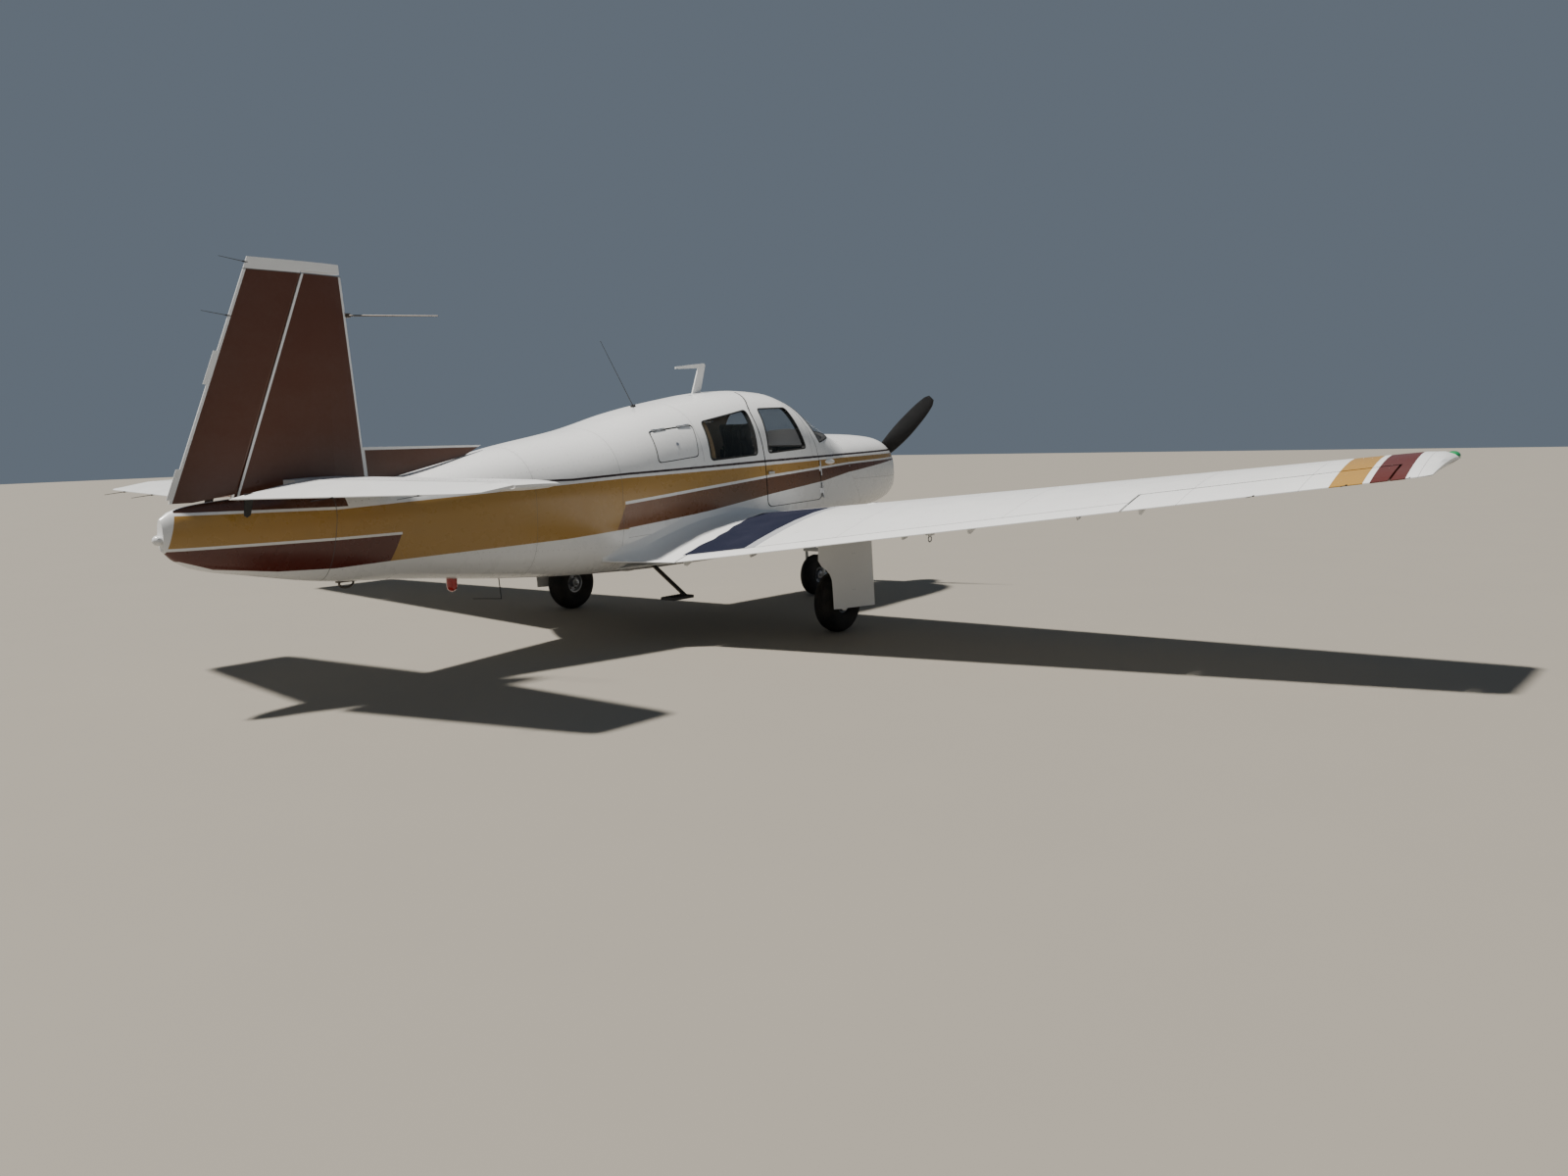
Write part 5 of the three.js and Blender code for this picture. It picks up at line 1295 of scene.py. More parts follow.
def mainLegTrim(side):
    # Shock discs clear of the leg door, axle nut, brake and door screws of one main leg
    def on(x, y, z):
        return Vector((x, side * y, z))

    parts = discStack(on(0.7953, 1.484, 0.450), on(0.781, 1.484, 0.632), 6, 0.034)
    parts.append(axleNut(on(0.720, 1.314, 0.222), (0, -side, 0)))
    for low, high in brakeBlocks:
        y0, y1 = mirrored(side, low[1], high[1])
        parts.append(block("brake", (low[0], y0, low[2]), (high[0], y1, high[2]), "steel", 0.003))
    parts.append(tubeAlong("pipe", softened([on(*p) for p in brakePipe]), 0.003, "black"))
    for z in (0.315, 0.575):
        for x in (0.707, 0.733):
            parts.append(rodBetween("screw", on(x, 1.526, z), on(x, 1.5276, z), 0.0045, "bare", 0.003, 12))
    return parts


for side, name in hands:
    assembled("legTrim" + name, mainLegTrim(side), "airframe", "gear_steel")

noseTrim = discStack((2.3043, 0, 0.740), (2.3315, 0, 0.610), 5, 0.040)
noseTrim.append(rodBetween("drag", (2.318, 0, 0.668), (2.05, 0, 0.780), 0.011, "leg"))
assembled("noseLegTrim", noseTrim, "airframe", "gear_steel")
forkTrim = [axleNut((2.397, side * 0.108, 0.180), (0, side, 0), 0.022) for side in (-1, 1)]
forkTrim.append(rodBetween("towLug", (2.400, -0.06, 0.406), (2.400, 0.06, 0.406), 0.016, "steel"))
assembled("noseForkTrim", forkTrim, "steering_fork", "gear_steel")
print("stage: wheels and legs")


# Instruments on the panel: dials, radio stack and knobs
panelSpec = {"faceX": 1.750, "dial": 0.040, "small": 0.028}


def dialShape(y, z, radius, turn):
    at = Vector((panelSpec["faceX"], y, z))
    back = -ahead
    bezel = [(radius * 0.80, -0.001), (radius, -0.001), (radius, 0.006), (radius * 0.92, 0.009),
             (radius * 0.80, 0.005)]
    face = [(0, -0.001), (radius * 0.81, -0.001), (radius * 0.81, 0.002), (0, 0.002)]
    parts = [lathed("bezel", bezel, at, back, "black", 28), lathed("face", face, at, back, "black", 28)]

    def hand(angle, start, end, width, proud):
        out = Vector((0, cos(angle), sin(angle)))
        side = Vector((0, -sin(angle), cos(angle))) * width / 2
        front = back * proud
        ends = [at + out * (radius * share) for share in (start, end)]
        rings = [[p + side + front * 0.6, p - side + front * 0.6, p - side + front, p + side + front]
                 for p in ends]
        return loftRings("hand", rings, "ivory", 30.0)

    parts += [hand(angle, 0.62, 0.76, radius * 0.05, 0.0028) for angle in turns(12)]
    return parts + [hand(turn, -0.12, 0.58, radius * 0.07, 0.0038)]


instruments = []
for row, z in enumerate((1.285, 1.195)):
    for column in range(3):
        instruments += dialShape(0.195 + 0.090 * column, z, panelSpec["dial"], 0.7 + 1.9 * column + row)
for column in range(4):
    for row, z in enumerate((1.280, 1.205)):
        instruments += dialShape(-0.19 - 0.066 * column, z, panelSpec["small"], 2.2 + 0.8 * column + row)
for k in range(4):
    z = 1.150 + 0.043 * k
    instruments.append(block("radio", (1.735, -0.085, z), (1.752, 0.085, z + 0.038), "black", 0.003))
    instruments.append(block("window", (1.7335, -0.045, z + 0.012), (1.7352, 0.045, z + 0.027), "clear", 0))
    for y in (-0.068, 0.068):
        ends = [(x, y, z + 0.019) for x in (1.736, 1.724)]
        instruments.append(rodBetween("knob", *ends, 0.009, "black", 0.007))
for y, finish in ((-0.06, "black"), (0.0, "black"), (0.06, "red")):
    instruments.append(rodBetween("stem", (1.752, y, 1.115), (1.702, y, 1.115), 0.004, "bare"))
    instruments.append(rodBetween("knob", (1.704, y, 1.115), (1.686, y, 1.115), 0.014, finish))
assembled("instruments", instruments, "airframe", "panel_plastic")
print("stage: instruments")


# Seats: hard bases, and cushions puffed up by a short cloth run
cushionSpec = {"voxel": 0.012, "start": 0.012, "bevel": 0.020, "pressure": 4.0, "reach": 0.026, "frames": 20,
               "channelDepth": 0.007, "channelWidth": 0.008, "piping": 0.0038}
cushionShapes = []   # name, outline in X and Z, sides, node, height where it rests, channels
for side, name in hands:
    node = "seat_" + name.lower()
    cushionShapes += [
        ("seatCushion" + name, [(1.150, 0.962), (1.530, 0.980), (1.520, 1.110), (1.142, 1.088)],
         mirrored(side, 0.070, 0.500), node, 0.957, 4),
        ("seatBack" + name, [(1.035, 0.985), (1.135, 0.985), (1.030, 1.560), (0.930, 1.555)],
         mirrored(side, 0.095, 0.415), node, None, 4),
    ]
cushionShapes += [
    ("benchCushion", [(0.398, 0.922), (0.780, 0.935), (0.770, 1.065), (0.388, 1.038)],
     [-0.485, 0.485], "rear_bench", 0.916, 8),
    ("benchBack", [(0.275, 0.945), (0.382, 0.945), (0.270, 1.430), (0.170, 1.425)],
     [-0.420, 0.420], "rear_bench", None, 8),
]


def startCushion(name, outline, span):
    margin = cushionSpec["start"]
    pad = prism(name, shrunk(outline, margin), span[0] + margin, span[1] - margin, "leather",
                cushionSpec["bevel"])
    return addModifier(pad, "REMESH", mode="VOXEL", voxel_size=cushionSpec["voxel"])


def puffUp(pads):
    rest = [[v.co.copy() for v in pad.data.vertices] for pad in pads]
    for pad in pads:
        cloth = pad.modifiers.new("puff", "CLOTH")
        cloth.settings.use_pressure = True
        cloth.settings.uniform_pressure_force = cushionSpec["pressure"]
        cloth.settings.effector_weights.gravity = 0.0
    for step in range(1, cushionSpec["frames"] + 1):
        bpy.context.scene.frame_set(step)
    for pad, places in zip(pads, rest):
        applyModifiers(pad)
        for vertex, start in zip(pad.data.vertices, places):
            move = vertex.co - start
            if move.length > cushionSpec["reach"]:
                vertex.co = start + move.normalized() * cushionSpec["reach"]
    bpy.context.scene.frame_set(1)


def finishCushion(pad, span, restsAt, channels):
    # Sewn channels from front to back, and a flat underside where it rests on the base
    addModifier(pad, "SUBSURF", levels=1, render_levels=1)
    normals = [v.normal.copy() for v in pad.data.vertices]
    lines = [span[0] + (span[1] - span[0]) * k / channels for k in range(1, channels)]
    for vertex, normal in zip(pad.data.vertices, normals):
        near = min(abs(vertex.co.y - line) for line in lines)
        face = min(1.0, max(0.0, (abs(normal.x) + abs(normal.z)) * 2 - 1))
        sunk = cushionSpec["channelDepth"] * exp(-(near / cushionSpec["channelWidth"]) ** 2)
        vertex.co -= normal * (face * sunk)
        if restsAt is not None:
            vertex.co.z = max(vertex.co.z, restsAt)
    shade(pad, 60.0)


def pipingRound(pad, outline, y):
    surface = surfaceOf(pad)
    loop = densified(roundedCorners(outline, 0.030), 0.016)
    points = [surface.find_nearest(Vector((p[0], y, p[1])))[0] for p in loop]
    return tubeAlong("piping", points, cushionSpec["piping"], "leather", closed=True)


pads = [startCushion(name, outline, span) for name, outline, span, *_ in cushionShapes]
puffUp(pads)
piping = []
for pad, (name, outline, span, node, restsAt, channels) in zip(pads, cushionShapes):
    finishCushion(pad, span, restsAt, channels)
    piping += [pipingRound(pad, outline, y) for y in (span[0] + 0.022, span[1] - 0.022)]
    place(pad, "airframe", "seat_leather", node)
assembled("cushionPiping", piping, "airframe", "seat_leather")


def seatBase(x0, x1, y0, y1, top, feet):
    parts = [block("box", (x0, y0, 0.885), (x1, y1, top), "black", 0.012)]
    for y in (y0 + 0.03, y1 - 0.045):
        parts.append(block("rail", (x0 - 0.06, y, 0.8503), (x1 + 0.04, y + 0.015, 0.862), "bare", 0.002))
        for x in feet:
            parts.append(block("foot", (x, y - 0.004, 0.860), (x + 0.030, y + 0.019, 0.887), "steel", 0.003))
    return parts


frontBases = [part for side in (1, -1)
              for part in seatBase(1.10, 1.46, *mirrored(side, 0.11, 0.47), 0.955, (1.12, 1.40))]
assembled("seatBases", frontBases, "airframe", "seat_leather", "seat_left", "seat_right")
benchParts = seatBase(0.34, 0.70, -0.44, 0.44, 0.914, (0.36, 0.64))
assembled("benchBase", benchParts, "airframe", "seat_leather", "rear_bench")
print("stage: seats")

# Curtains gathered at the rear of the rear windows
curtainSpec = {"x": (0.352, 0.438), "z": (1.262, 1.545), "folds": 4, "depth": 0.008, "thick": 0.0012,
               "inset": 0.043, "columns": 64, "rows": 14}


def curtainShape(name, side):
    (x0, x1), (z0, z1) = curtainSpec["x"], curtainSpec["z"]
    columns, rows = curtainSpec["columns"], curtainSpec["rows"]
    grid = []
    for r in range(rows + 1):
        z = z0 + (z1 - z0) * r / rows
        line = []
        for c in range(columns + 1):
            share = c / columns
            x = x0 + (x1 - x0) * share
            wave = sin(2 * pi * curtainSpec["folds"] * share + 0.5 * sin(3.0 * r / rows))
            y = skinSide(x, z, side).y - side * (curtainSpec["inset"] + curtainSpec["depth"] * wave)
            line.append(Vector((x, y, z)))
        grid.append(line)
    made = objectFrom(name, [p for line in grid for p in line], gridFaces(rows, columns), "curtain")
    addModifier(made, "SOLIDIFY", thickness=curtainSpec["thick"], offset=0.0)
    faceOut(made, 60.0)
    place(made, "airframe", "seat_leather")


railSpec = {"x": (0.335, 0.39, 0.45, 0.51), "z": curtainSpec["z"][1] - 0.006, "radius": 0.004, "post": 0.005}
curtainRails = []
for side, name in hands:
    curtainShape("curtain" + name, side)
    rail = [skinSide(x, railSpec["z"], side, -curtainSpec["inset"]) for x in railSpec["x"]]
    curtainRails.append(tubeAlong("rail", rail, railSpec["radius"], "bare"))
    for end in (rail[0], rail[-1]):
        tip = end + Vector((0, side * 0.018, 0.004))
        curtainRails.append(rodBetween("post", end, tip, railSpec["post"], "bare"))
assembled("curtainRails", curtainRails, "airframe", "bare_alloy")
print("stage: curtains")


# Wing shape, for placing details on it
wingSpec = {"halfSpan": 5.335, "rootTe": -0.520, "tipTe": 0.245, "rootLe": 1.335, "tipLe": 1.140,
            "teZ": 0.486, "rise": 0.1231}


def wingEdges(y):
    share = abs(y) / wingSpec["halfSpan"]
    trail = wingSpec["rootTe"] + share * (wingSpec["tipTe"] - wingSpec["rootTe"])
    lead = wingSpec["rootLe"] + share * (wingSpec["tipLe"] - wingSpec["rootLe"])
    return trail, lead, wingSpec["teZ"] + wingSpec["rise"] * abs(y)


surfaces = {name: surfaceOf(piece) for name, piece in skins.items() if name.endswith("Skin")}


def dropOn(surface, at, toward):
    # Where a line towards a surface meets it, and the outward normal there
    toward = Vector(toward).normalized()
    point, normal, _, _ = surfaces[surface].ray_cast(Vector(at) - toward * 0.7, toward)
    if point is None:
        return None
    return point, (normal if normal.dot(toward) < 0 else -normal)


def discOn(surface, at, toward, radius, height, finish, rim=None):
    found = dropOn(surface, at, toward)
    if found is None:
        return []
    rim = rim or radius * 0.85
    profile = [(0, -0.003), (radius, -0.003), (radius, height * 0.4), (rim, height), (0, height)]
    return [lathed("disc", profile, *found, finish, 28)]


down, upward = (0, 0, -1), (0, 0, 1)
tieDown = {"x": 0.65, "y": 2.20, "radius": 0.020, "drop": 0.026, "bar": 0.0045, "eye": 0.011}
wingTrim = []
for side in (-1, 1):
    # Fuel filler caps, drains, inspection plates and tie-down rings
    wingTrim += discOn("wingSkin", (0.86, side * 1.62, 0.9), down, 0.048, 0.003, "white", 0.046)
    wingTrim += discOn("wingSkin", (0.86, side * 1.62, 0.9), down, 0.034, 0.006, "bare")
    wingTrim += discOn("wingSkin", (0.40, side * 0.92, 0.5), upward, 0.014, 0.010, "bare")
    for y in (1.80, 2.60, 3.40, 4.20, 4.90):
        trail, lead, _ = wingEdges(y)
        x = trail + (lead - trail) * 0.52
        wingTrim += discOn("wingSkin", (x, side * y, 0.7), upward, 0.052, 0.0014, "white", 0.051)
    under = dropOn("wingSkin", (tieDown["x"], side * tieDown["y"], 0.8), upward)[0]
    centre = under - Vector((0, 0, tieDown["drop"]))
    ring = [centre + Vector((cos(a), 0, sin(a))) * tieDown["radius"] for a in turns(20)]
    wingTrim.append(tubeAlong("ring", ring, tieDown["bar"], "bare", closed=True))
    eyeEnds = [under + Vector((0, 0, z)) for z in (0.006, -0.008)]
    wingTrim.append(rodBetween("eye", *eyeEnds, tieDown["eye"], "bare"))
assembled("wingFittings", wingTrim, "airframe", "bare_alloy")


def walkwayPatch():
    # The gritty walkway: a thin sheet laid on the right wing's top beside the cabin
    (behind, x1), (y0, y1) = wingMarks["walkwayX"], wingMarks["walkway"]
    columns, rows, thick = 36, 22, 0.0009
    top, foot = [], []
    for r in range(rows + 1):
        y = -(y0 + (y1 - y0) * r / rows)
        x0 = wingEdges(y)[0] + behind
        for c in range(columns + 1):
            at, normal = dropOn("wingSkin", (x0 + (x1 - x0) * c / columns, y, 0.9), down)
            top.append(at + normal * thick)
            foot.append(at - normal * thick)
    wide, under = columns + 1, len(top)
    edge = list(range(wide)) + [r * wide + columns for r in range(1, rows + 1)]
    edge += [rows * wide + c for c in range(columns - 1, -1, -1)] + [r * wide for r in range(rows - 1, 0, -1)]
    faces = gridFaces(rows, columns)
    faces += [tuple(under + k for k in quad[::-1]) for quad in faces]
    faces += [(a, under + a, under + b, b) for a, b in zip(edge, edge[1:] + edge[:1])]
    return faceOut(objectFrom("walkway", top + foot, faces, "grit"), 30.0)


place(walkwayPatch(), "airframe", "panel_plastic")

# Flat side plates that make the step's strut a broad one, and a grip on its foot
strutEnds = [Vector((-0.150, -0.372, 0.537)), Vector((-0.1735, -0.690, 0.336))]
strutAcross = Vector((0, 0.534, 0.845))
strutOutline = [(-0.021, -0.011), (0.0, -0.0165), (0.021, -0.011), (0.021, 0.011), (0.0, 0.0165),
                (-0.021, 0.011)]
strutRings = [[end + ahead * along + strutAcross * across for along, across in strutOutline]
              for end in strutEnds]
stepTrim = [loftRings("strut", strutRings, "steel", 30.0)]
for k in range(7):
    x = -0.345 + 0.029 * k
    stepTrim.append(block("grip", (x, -0.755, 0.3345), (x + 0.012, -0.645, 0.3375), "rubber", 0.001))
assembled("boardingStepTrim", stepTrim, "airframe", "bare_alloy")


def hingePlate(y):
    # A small three-cornered hinge plate that hangs under the trailing edge
    trail, _, z = wingEdges(y)
    outline = [(trail + 0.150, z + 0.004), (trail + 0.022, z + 0.002), (trail + 0.034, z - 0.028),
               (trail + 0.062, z - 0.034)]
    return prism("plate", outline, y - 0.003, y + 0.003, "white", 0.001)


for side, name in hands:
    for kind, places in (("flap", (0.87, 2.885)), ("aileron", (3.89,))):
        title = kind + ("Plates" if kind == "flap" else "Plate") + name
        plates = [hingePlate(side * y) for y in places]
        assembled(title, plates, name.lower() + "_" + kind, "white_paint")

# Navigation lamps on the tips' leading corners, and the pitot tube under the left wing
lampSpec = {"y": 5.304, "behind": 0.085, "above": 0.081, "radii": (0.055, 0.036, 0.028)}
_, tipLead, tipZ = wingEdges(5.31)
for (side, name), finish in zip(hands, ("red", "green")):
    centre = (tipLead - lampSpec["behind"], side * lampSpec["y"], tipZ + lampSpec["above"])
    place(bulb("navLamp" + name, centre, lampSpec["radii"], finish), "airframe", "beacon_red")
pitotRoot = dropOn("wingSkin", (0.95, 3.00, 0.8), upward)[0]
pitotLine = [(0, 0, 0.01), (0.006, 0, -0.09), (0.09, 0, -0.109), (0.21, 0, -0.109)]
pitotFoot = [pitotRoot + Vector((0, 0, z)) for z in (0.004, -0.004)]
pitot = [tubeAlong("mast", softened([pitotRoot + Vector(p) for p in pitotLine]), 0.0095, "bare", sides=14),
         rodBetween("foot", *pitotFoot, 0.028, "white", 0.022)]
assembled("pitotTube", pitot, "airframe", "bare_alloy")


def wickAt(at, slope, length=0.13):
    at, aim = Vector(at), Vector((-1, 0, slope)).normalized()
    return [rodBetween("base", at - aim * 0.03, at + aim * 0.012, 0.0042, "black"),
            rodBetween("wick", at, at + aim * length, 0.0022, "black", 0.0014, 8)]


def wingWick(y, inset=0.004, above=0.002, length=0.13):
    trail, _, z = wingEdges(y)
    return wickAt((trail + inset, y, z + above), -0.02, length)


elevatorEdge = {"x": -3.230, "sweep": 0.350 / 1.790, "z": 1.212, "droop": 0.46 * tan(radians(6.0))}


def elevatorWick(y, share):
    x = elevatorEdge["x"] + abs(y) * elevatorEdge["sweep"] + 0.006
    return wickAt((x, y, elevatorEdge["z"] - elevatorEdge["droop"] * share), -0.1)


for side, name in hands:
    wingWicks = wingWick(side * 4.95) + wingWick(side * 4.5)
    assembled("aileronWicks" + name, wingWicks, name.lower() + "_aileron", "panel_plastic")
    assembled("tipWick" + name, wingWick(side * 5.24, 0.03, 0.004, 0.16), "airframe", "panel_plastic")
    tailWicks = elevatorWick(side * 1.45, 0.62) + elevatorWick(side * 0.9, 0.8)
    assembled("elevatorWicks" + name, tailWicks, name.lower() + "_elevator", "panel_plastic")


# Rudder's trim tabs and wicks, elevator horns, tail tie-down, belly bump, plates and vents
def rudderEdge(z):
    return -3.427 + (z - 1.15) * 0.4124


def rudderTab(z0, z1):
    profile = [(0.012, -0.0035), (0.012, 0.0035), (-0.020, 0.0012), (-0.020, -0.0012)]
    rings = [[(rudderEdge(z) + along, y, z) for along, y in profile] for z in (z0, z1)]
    return loftRings("tab", rings, "white", 30.0)


rudderTrim = [rudderTab(1.775, 1.955), rudderTab(1.170, 1.330)]
for z in (2.145, 2.440):
    rudderTrim += wickAt((rudderEdge(z) - 0.002, 0, z), 0.12, 0.15)
assembled("rudderTrim", rudderTrim, "rudder_group", "white_paint")
horn = [(-3.115, 1.190), (-3.060, 1.192), (-3.090, 1.075), (-3.112, 1.062), (-3.128, 1.075)]
for side, name in hands:
    piece = prism("elevatorHorn" + name, horn, *mirrored(side, 0.196, 0.204), "black", 0.0015)
    place(piece, name.lower() + "_elevator", "panel_plastic")

hookTop = Vector((-2.40, 0, 0.640))
hookLine = [(0.045, 0, 0.004), (0.050, 0, -0.022), (0.020, 0, -0.042), (-0.030, 0, -0.040),
            (-0.052, 0, -0.020), (-0.042, 0, -0.002)]
bellyTrim = [
    bulb("bump", (-0.005, 0, 0.480), (0.115, 0.052, 0.026), "black"),
    tubeAlong("hook", softened([hookTop + Vector(p) for p in hookLine]), 0.007, "steel", sides=12),
    block("hookFoot", (-2.465, -0.016, 0.630), (-2.335, 0.016, 0.6425), "steel", 0.003),
]
assembled("bellyFittings", bellyTrim, "airframe", "gear_steel")


def patchOnSide(corners, side, radius):
    # A thin screwed plate that follows the body's side
    thick = 0.0016
    outline = [tuple(p) for p in roundedCorners(corners, radius, 4)]
    centre = (sum(p[0] for p in outline) / len(outline), sum(p[1] for p in outline) / len(outline))
    rings = [[skinSide(*p, side, -0.003) for p in outline]]
    for share, proud in ((1.0, thick * 0.6), (0.66, thick), (0.33, thick)):
        ring = [skinSide(*between(centre, p, share), side) for p in outline]
        rings.append([at + skinNormal(at) * proud for at in ring])
    return loftRings("patch", rings, "body", 30.0)


accessCorners = [(-2.400, 0.937), (-2.241, 0.940), (-2.241, 1.024), (-2.400, 1.021)]
plateRound = [(-2.87 + 0.055 * cos(a), 0.838 + 0.055 * sin(a)) for a in turns(18)]
plates = []
scoops = []
for side in (-1, 1):
    plates += [patchOnSide(accessCorners, side, 0.012), patchOnSide(plateRound, side, 0.004)]
    centre = skinSide(1.86, 1.20, side) - Vector((0.02, side * 0.004, 0))
    scoops.append(bulb("scoop", centre, (0.075, 0.016, 0.022), "white"))
assembled("bodyPlates", plates, "airframe", "white_paint")
assembled("airScoops", scoops, "airframe", "white_paint")
print("stage: fittings")

# Rivet rows: lines on the skins that Geometry Nodes turn into rows of low heads
rivetSizes = {"Spacing": 0.042, "Radius": 0.0031, "Height": 0.0016, "Sunk": 0.0009}


def rivetTree():
    tree = bpy.data.node_groups.new("rivetRows", "GeometryNodeTree")

    def socket(name, kind, inOut="INPUT"):
        return tree.interface.new_socket(name, in_out=inOut, socket_type="NodeSocket" + kind).identifier

    socket("Rows", "Geometry")
    sockets = {name: socket(name, "Float") for name in rivetSizes}
    sockets["Finish"] = socket("Finish", "Material")
    socket("Rivets", "Geometry", "OUTPUT")

    def add(kind, settings=None, **inputs):
        node = tree.nodes.new(kind)
        for key, value in (settings or {}).items():
            setattr(node, key, value)
        for key, value in inputs.items():
            target = node.inputs[key.replace("_", " ")]
            if isinstance(value, bpy.types.NodeSocket):
                tree.links.new(value, target)
            else:
                target.default_value = value
        return node.outputs[0] if node.outputs else None

    def times(value, factor):
        node = tree.nodes.new("ShaderNodeMath")
        node.operation = "MULTIPLY"
        tree.links.new(value, node.inputs[0])
        node.inputs[1].default_value = factor
        return node.outputs[0]

    given = tree.nodes.new("NodeGroupInput").outputs
    curve = add("GeometryNodeMeshToCurve", Mesh=given["Rows"])
    spaced = add("GeometryNodeResampleCurve", {"mode": "LENGTH"}, Curve=curve, Length=given["Spacing"])
    outward = add("GeometryNodeInputNamedAttribute", {"data_type": "FLOAT_VECTOR"}, Name="outward")
    turn = add("FunctionNodeAlignRotationToVector", {"axis": "Z"}, Vector=outward)
    head = add("GeometryNodeMeshCone", {"fill_type": "NGON"}, Vertices=8, Depth=given["Height"],
               Radius_Top=times(given["Radius"], 0.62), Radius_Bottom=given["Radius"])
    lower = add("ShaderNodeCombineXYZ", Z=times(given["Sunk"], -1.0))
    seated = add("GeometryNodeTransform", Geometry=head, Translation=lower)
    spread = add("GeometryNodeInstanceOnPoints", Points=spaced, Instance=seated, Rotation=turn)
    real = add("GeometryNodeRealizeInstances", Geometry=spread)
    dressed = add("GeometryNodeSetMaterial", Geometry=real, Material=given["Finish"])
    add("NodeGroupOutput", Rivets=dressed)
    return tree, sockets


rivets, rivetSockets = rivetTree()


def rowOn(surface, start, end, toward, steps=None):
    # Runs of places along a line dropped onto a surface, broken where it misses
    start, end = Vector(start), Vector(end)
    steps = steps or max(2, round((end - start).length / 0.05))
    runs = [[]]
    for k in range(steps + 1):
        found = dropOn(surface, start.lerp(end, k / steps), toward)
        if found is None or (runs[-1] and (found[0] - runs[-1][-1][0]).length > 0.16):
            runs.append([])
        if found is not None:
            runs[-1].append(found)
    return [run for run in runs if len(run) > 1]


def rowsBoth(surface, start, end, steps=None):
    # The same line on the top and on the underside
    return rowOn(surface, start, end, down, steps) + rowOn(surface, start, end, upward, steps)


def rivetPiece(name, rows, finish, body, sizes=None):
    verts, edges, normals = [], [], []
    for row in rows:
        start = len(verts)
        verts += [point for point, _ in row]
        normals += [component for _, normal in row for component in normal]
        edges += [(start + k, start + k + 1) for k in range(len(row) - 1)]
    mesh = bpy.data.meshes.new(name)
    mesh.from_pydata([tuple(v) for v in verts], edges, [])
    mesh.attributes.new("outward", "FLOAT_VECTOR", "POINT").data.foreach_set("vector", normals)
    piece = linked(name, mesh)
    step = piece.modifiers.new("rivets", "NODES")
    step.node_group = rivets
    for key, value in {**rivetSizes, **(sizes or {}), "Finish": finishes[finish]}.items():
        step[rivetSockets[key]] = value
    applyModifiers(piece)
    shade(piece)
    place(piece, body, "white_paint")


def ringRow(x, fromTurn, toTurn, steps=48):
    found = [skinPoint(x, radians(fromTurn + (toTurn - fromTurn) * k / steps)) for k in range(steps + 1)]
    return [(at, skinNormal(at)) for at in found]


def sideRow(points, side):
    return placesOnSide(densified(points, 0.05, closed=False), side)


sideLines = [
    [(-0.60, 1.33), (-1.20, 1.24), (-2.50, 1.10)], [(-0.60, 0.70), (-1.20, 0.72), (-2.50, 0.80)],
    [(0.34, 1.580), (0.92, 1.672)], [(-0.50, 0.86), (0.90, 0.86)], [(1.735, 0.75), (1.735, 1.30)],
    [(-2.60, 1.03), (-3.30, 1.02)],
]
hoops = (-0.575, -0.90, -1.225, -1.251, -1.62, -2.02, -2.38, -2.515, -2.548)
bodyRows = [ringRow(x, *arc) for x in hoops for arc in ((-82, 82), (98, 262))]
bodyRows += [ringRow(x, 55, 125) for x in (0.250, 0.275)]
bodyRows += [sideRow(line, side) for side in (-1, 1) for line in sideLines]
bodyRows.append(sideRow([(1.05, 1.675), (1.44, 1.690)], 1))
for side in (-1, 1):
    for corners, radius in ((shrunk(accessCorners, 0.010), 0.012), (plateRound, 0.004)):
        bodyRows.append(placesOnSide(roundedCorners(corners, radius, 4), side))
rivetPiece("bodyRivets", bodyRows, "bodyRivet", "airframe", {"Height": 0.0014})


def chordPoint(side, y, share, extra):
    # A place above the wing: a share of the chord ahead of its trailing edge, and so many metres more
    trail, lead, z = wingEdges(y)
    return trail + (lead - trail) * share + extra, side * y, z + 0.1


wingRows = []
for side in (-1, 1):
    for share in (0.10, 0.33, 0.52, 0.66):
        wingRows += rowsBoth("wingSkin", *[chordPoint(side, y, 1 - share, 0) for y in (0.90, 5.10)])
    for y in (1.40, 1.93, 2.47, 3.03, 3.57, 4.08, 4.70, 5.262):
        wingRows += rowsBoth("wingSkin", chordPoint(side, y, 1, -0.06), chordPoint(side, y, 0, 0.13), 30)
rivetPiece("wingRivets", wingRows, "wingRivet", "airframe")

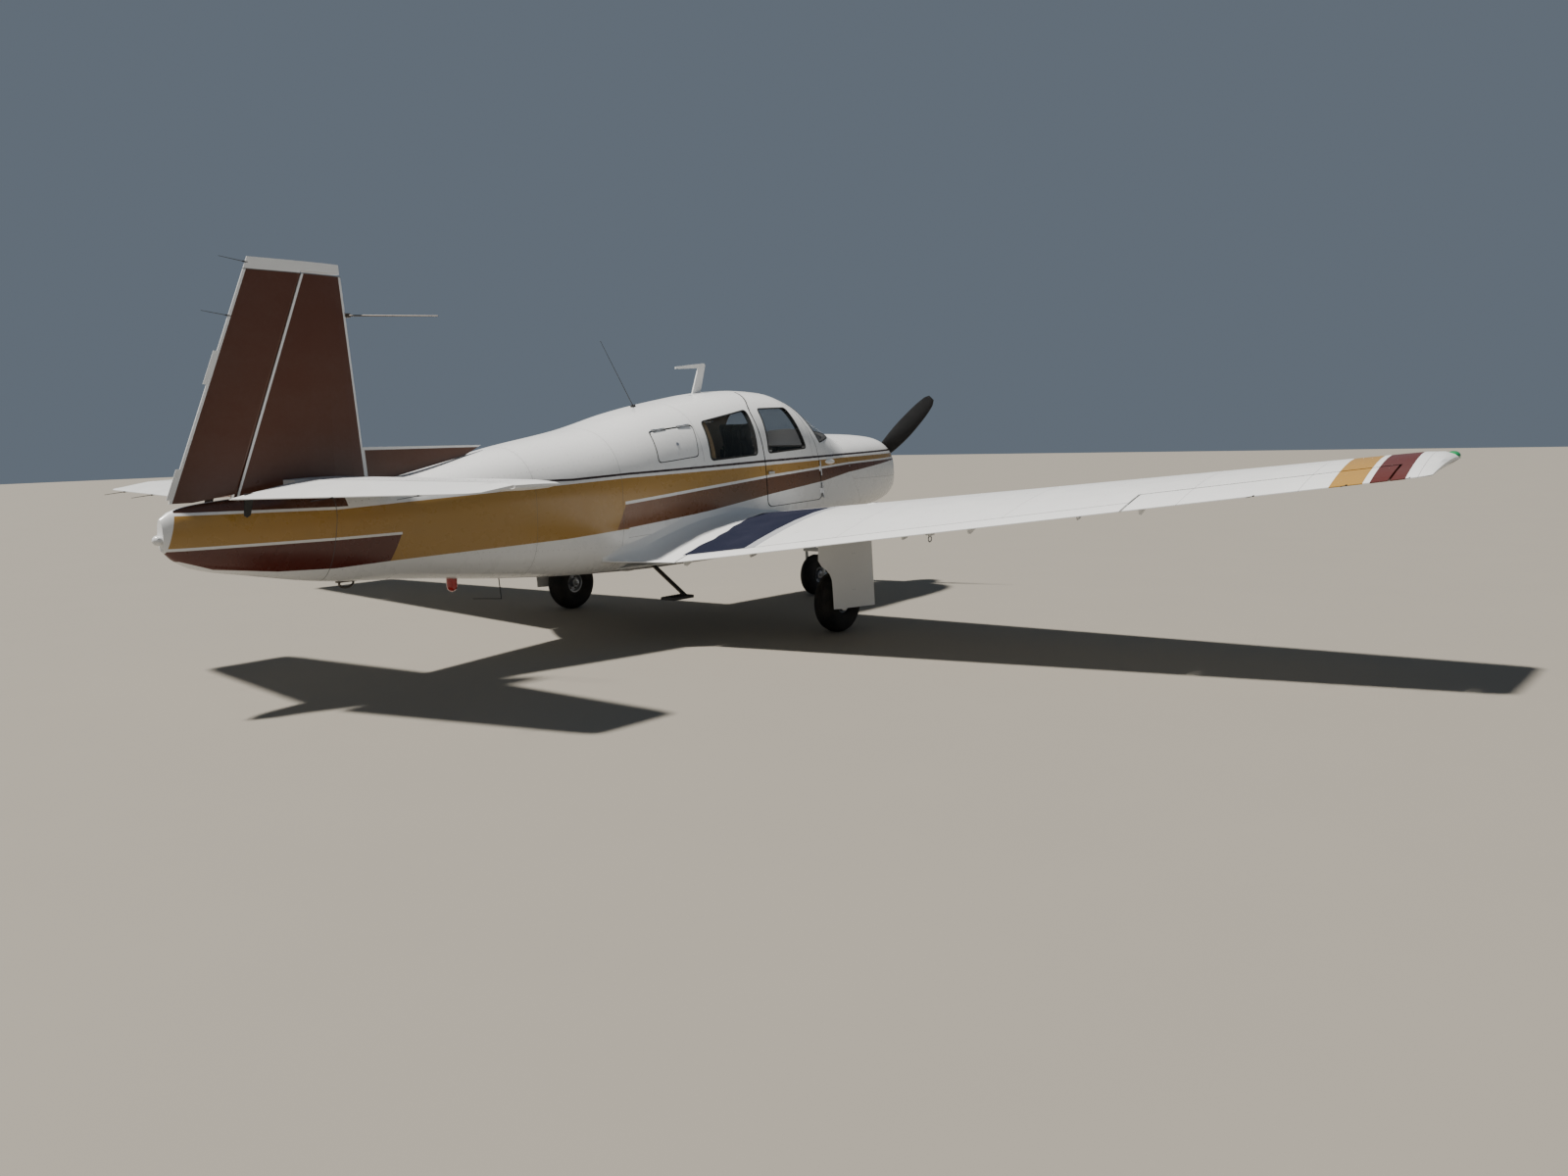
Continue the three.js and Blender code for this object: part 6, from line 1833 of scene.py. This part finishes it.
finLines = [((-2.25 - 0.0764 * (z - 1.15), z), (-3.03 + 0.3984 * (z - 1.15), z))
            for z in (1.50, 1.82, 2.14, 2.38)]
finLines += [((-2.25 - offset * 0.9, 1.30), (-2.34 - offset * 0.45, 2.36)) for offset in (0.05, 0.42)]
tailRows = []
for side in (-1, 1):
    for share in (0.16, 0.47):
        ends = [(-2.20 - 1.03 * share, side * 0.22, 1.25), (-2.29 - 0.60 * share, side * 1.70, 1.25)]
        tailRows += rowsBoth("stabilizerSkin", *ends)
    for y in (0.26, 0.65, 1.05, 1.42, 1.66):
        tailRows += rowsBoth("stabilizerSkin", (-2.24 - 0.05 * y, side * y, 1.25), (-2.66, side * y, 1.25))
    for (x0, z0), (x1, z1) in finLines:
        tailRows += rowOn("finSkin", (x0, side * 0.2, z0), (x1, side * 0.2, z1), (0, -side, 0))
rivetPiece("tailRivets", tailRows, "fin", "airframe")

rudderRows = []
for side in (-1, 1):
    for z in (1.45, 1.77, 2.09, 2.36):
        ends = [(x, side * 0.2, z) for x in (-3.06 + 0.3984 * (z - 1.15), rudderEdge(z) + 0.03)]
        rudderRows += rowOn("rudderSkin", *ends, (0, -side, 0))
rivetPiece("rudderRivets", rudderRows, "rudder", "rudder_group")

leafRows = [
    # leaf, stations, start of the row ahead of the trailing edge on top and below, finish
    ("flap", (0.9, 1.4, 1.93, 2.47, 3.03, 3.57), (0.10, 0.27), "white"),
    ("aileron", (3.86, 4.12, 4.38, 4.64, 4.90, 5.10), (0.24, 0.24), "wing"),
]
for side, name in hands:
    for leaf, places, starts, finish in leafRows:
        rows = []
        for y in places:
            trail, _, z = wingEdges(y)
            for start, toward in zip(starts, (down, upward)):
                ends = [(trail + reach, side * y, z) for reach in (start, 0.02)]
                rows += rowOn(leaf + name + "Skin", *ends, toward)
        rivetPiece(leaf + "Rivets" + name, rows, finish, name.lower() + "_" + leaf)

cowlLines = [[(2.23, 1.060), (3.05, 1.060)], [(2.120, 1.36), (2.130, 1.16), (2.225, 1.000), (2.34, 0.855)]]
cowlRows = [sideRow(line, side) for side in (-1, 1) for line in cowlLines]
rivetPiece("cowlFasteners", cowlRows, "bare", "airframe",
           {"Spacing": 0.105, "Radius": 0.0065, "Height": 0.0022})
print("stage: rivets")
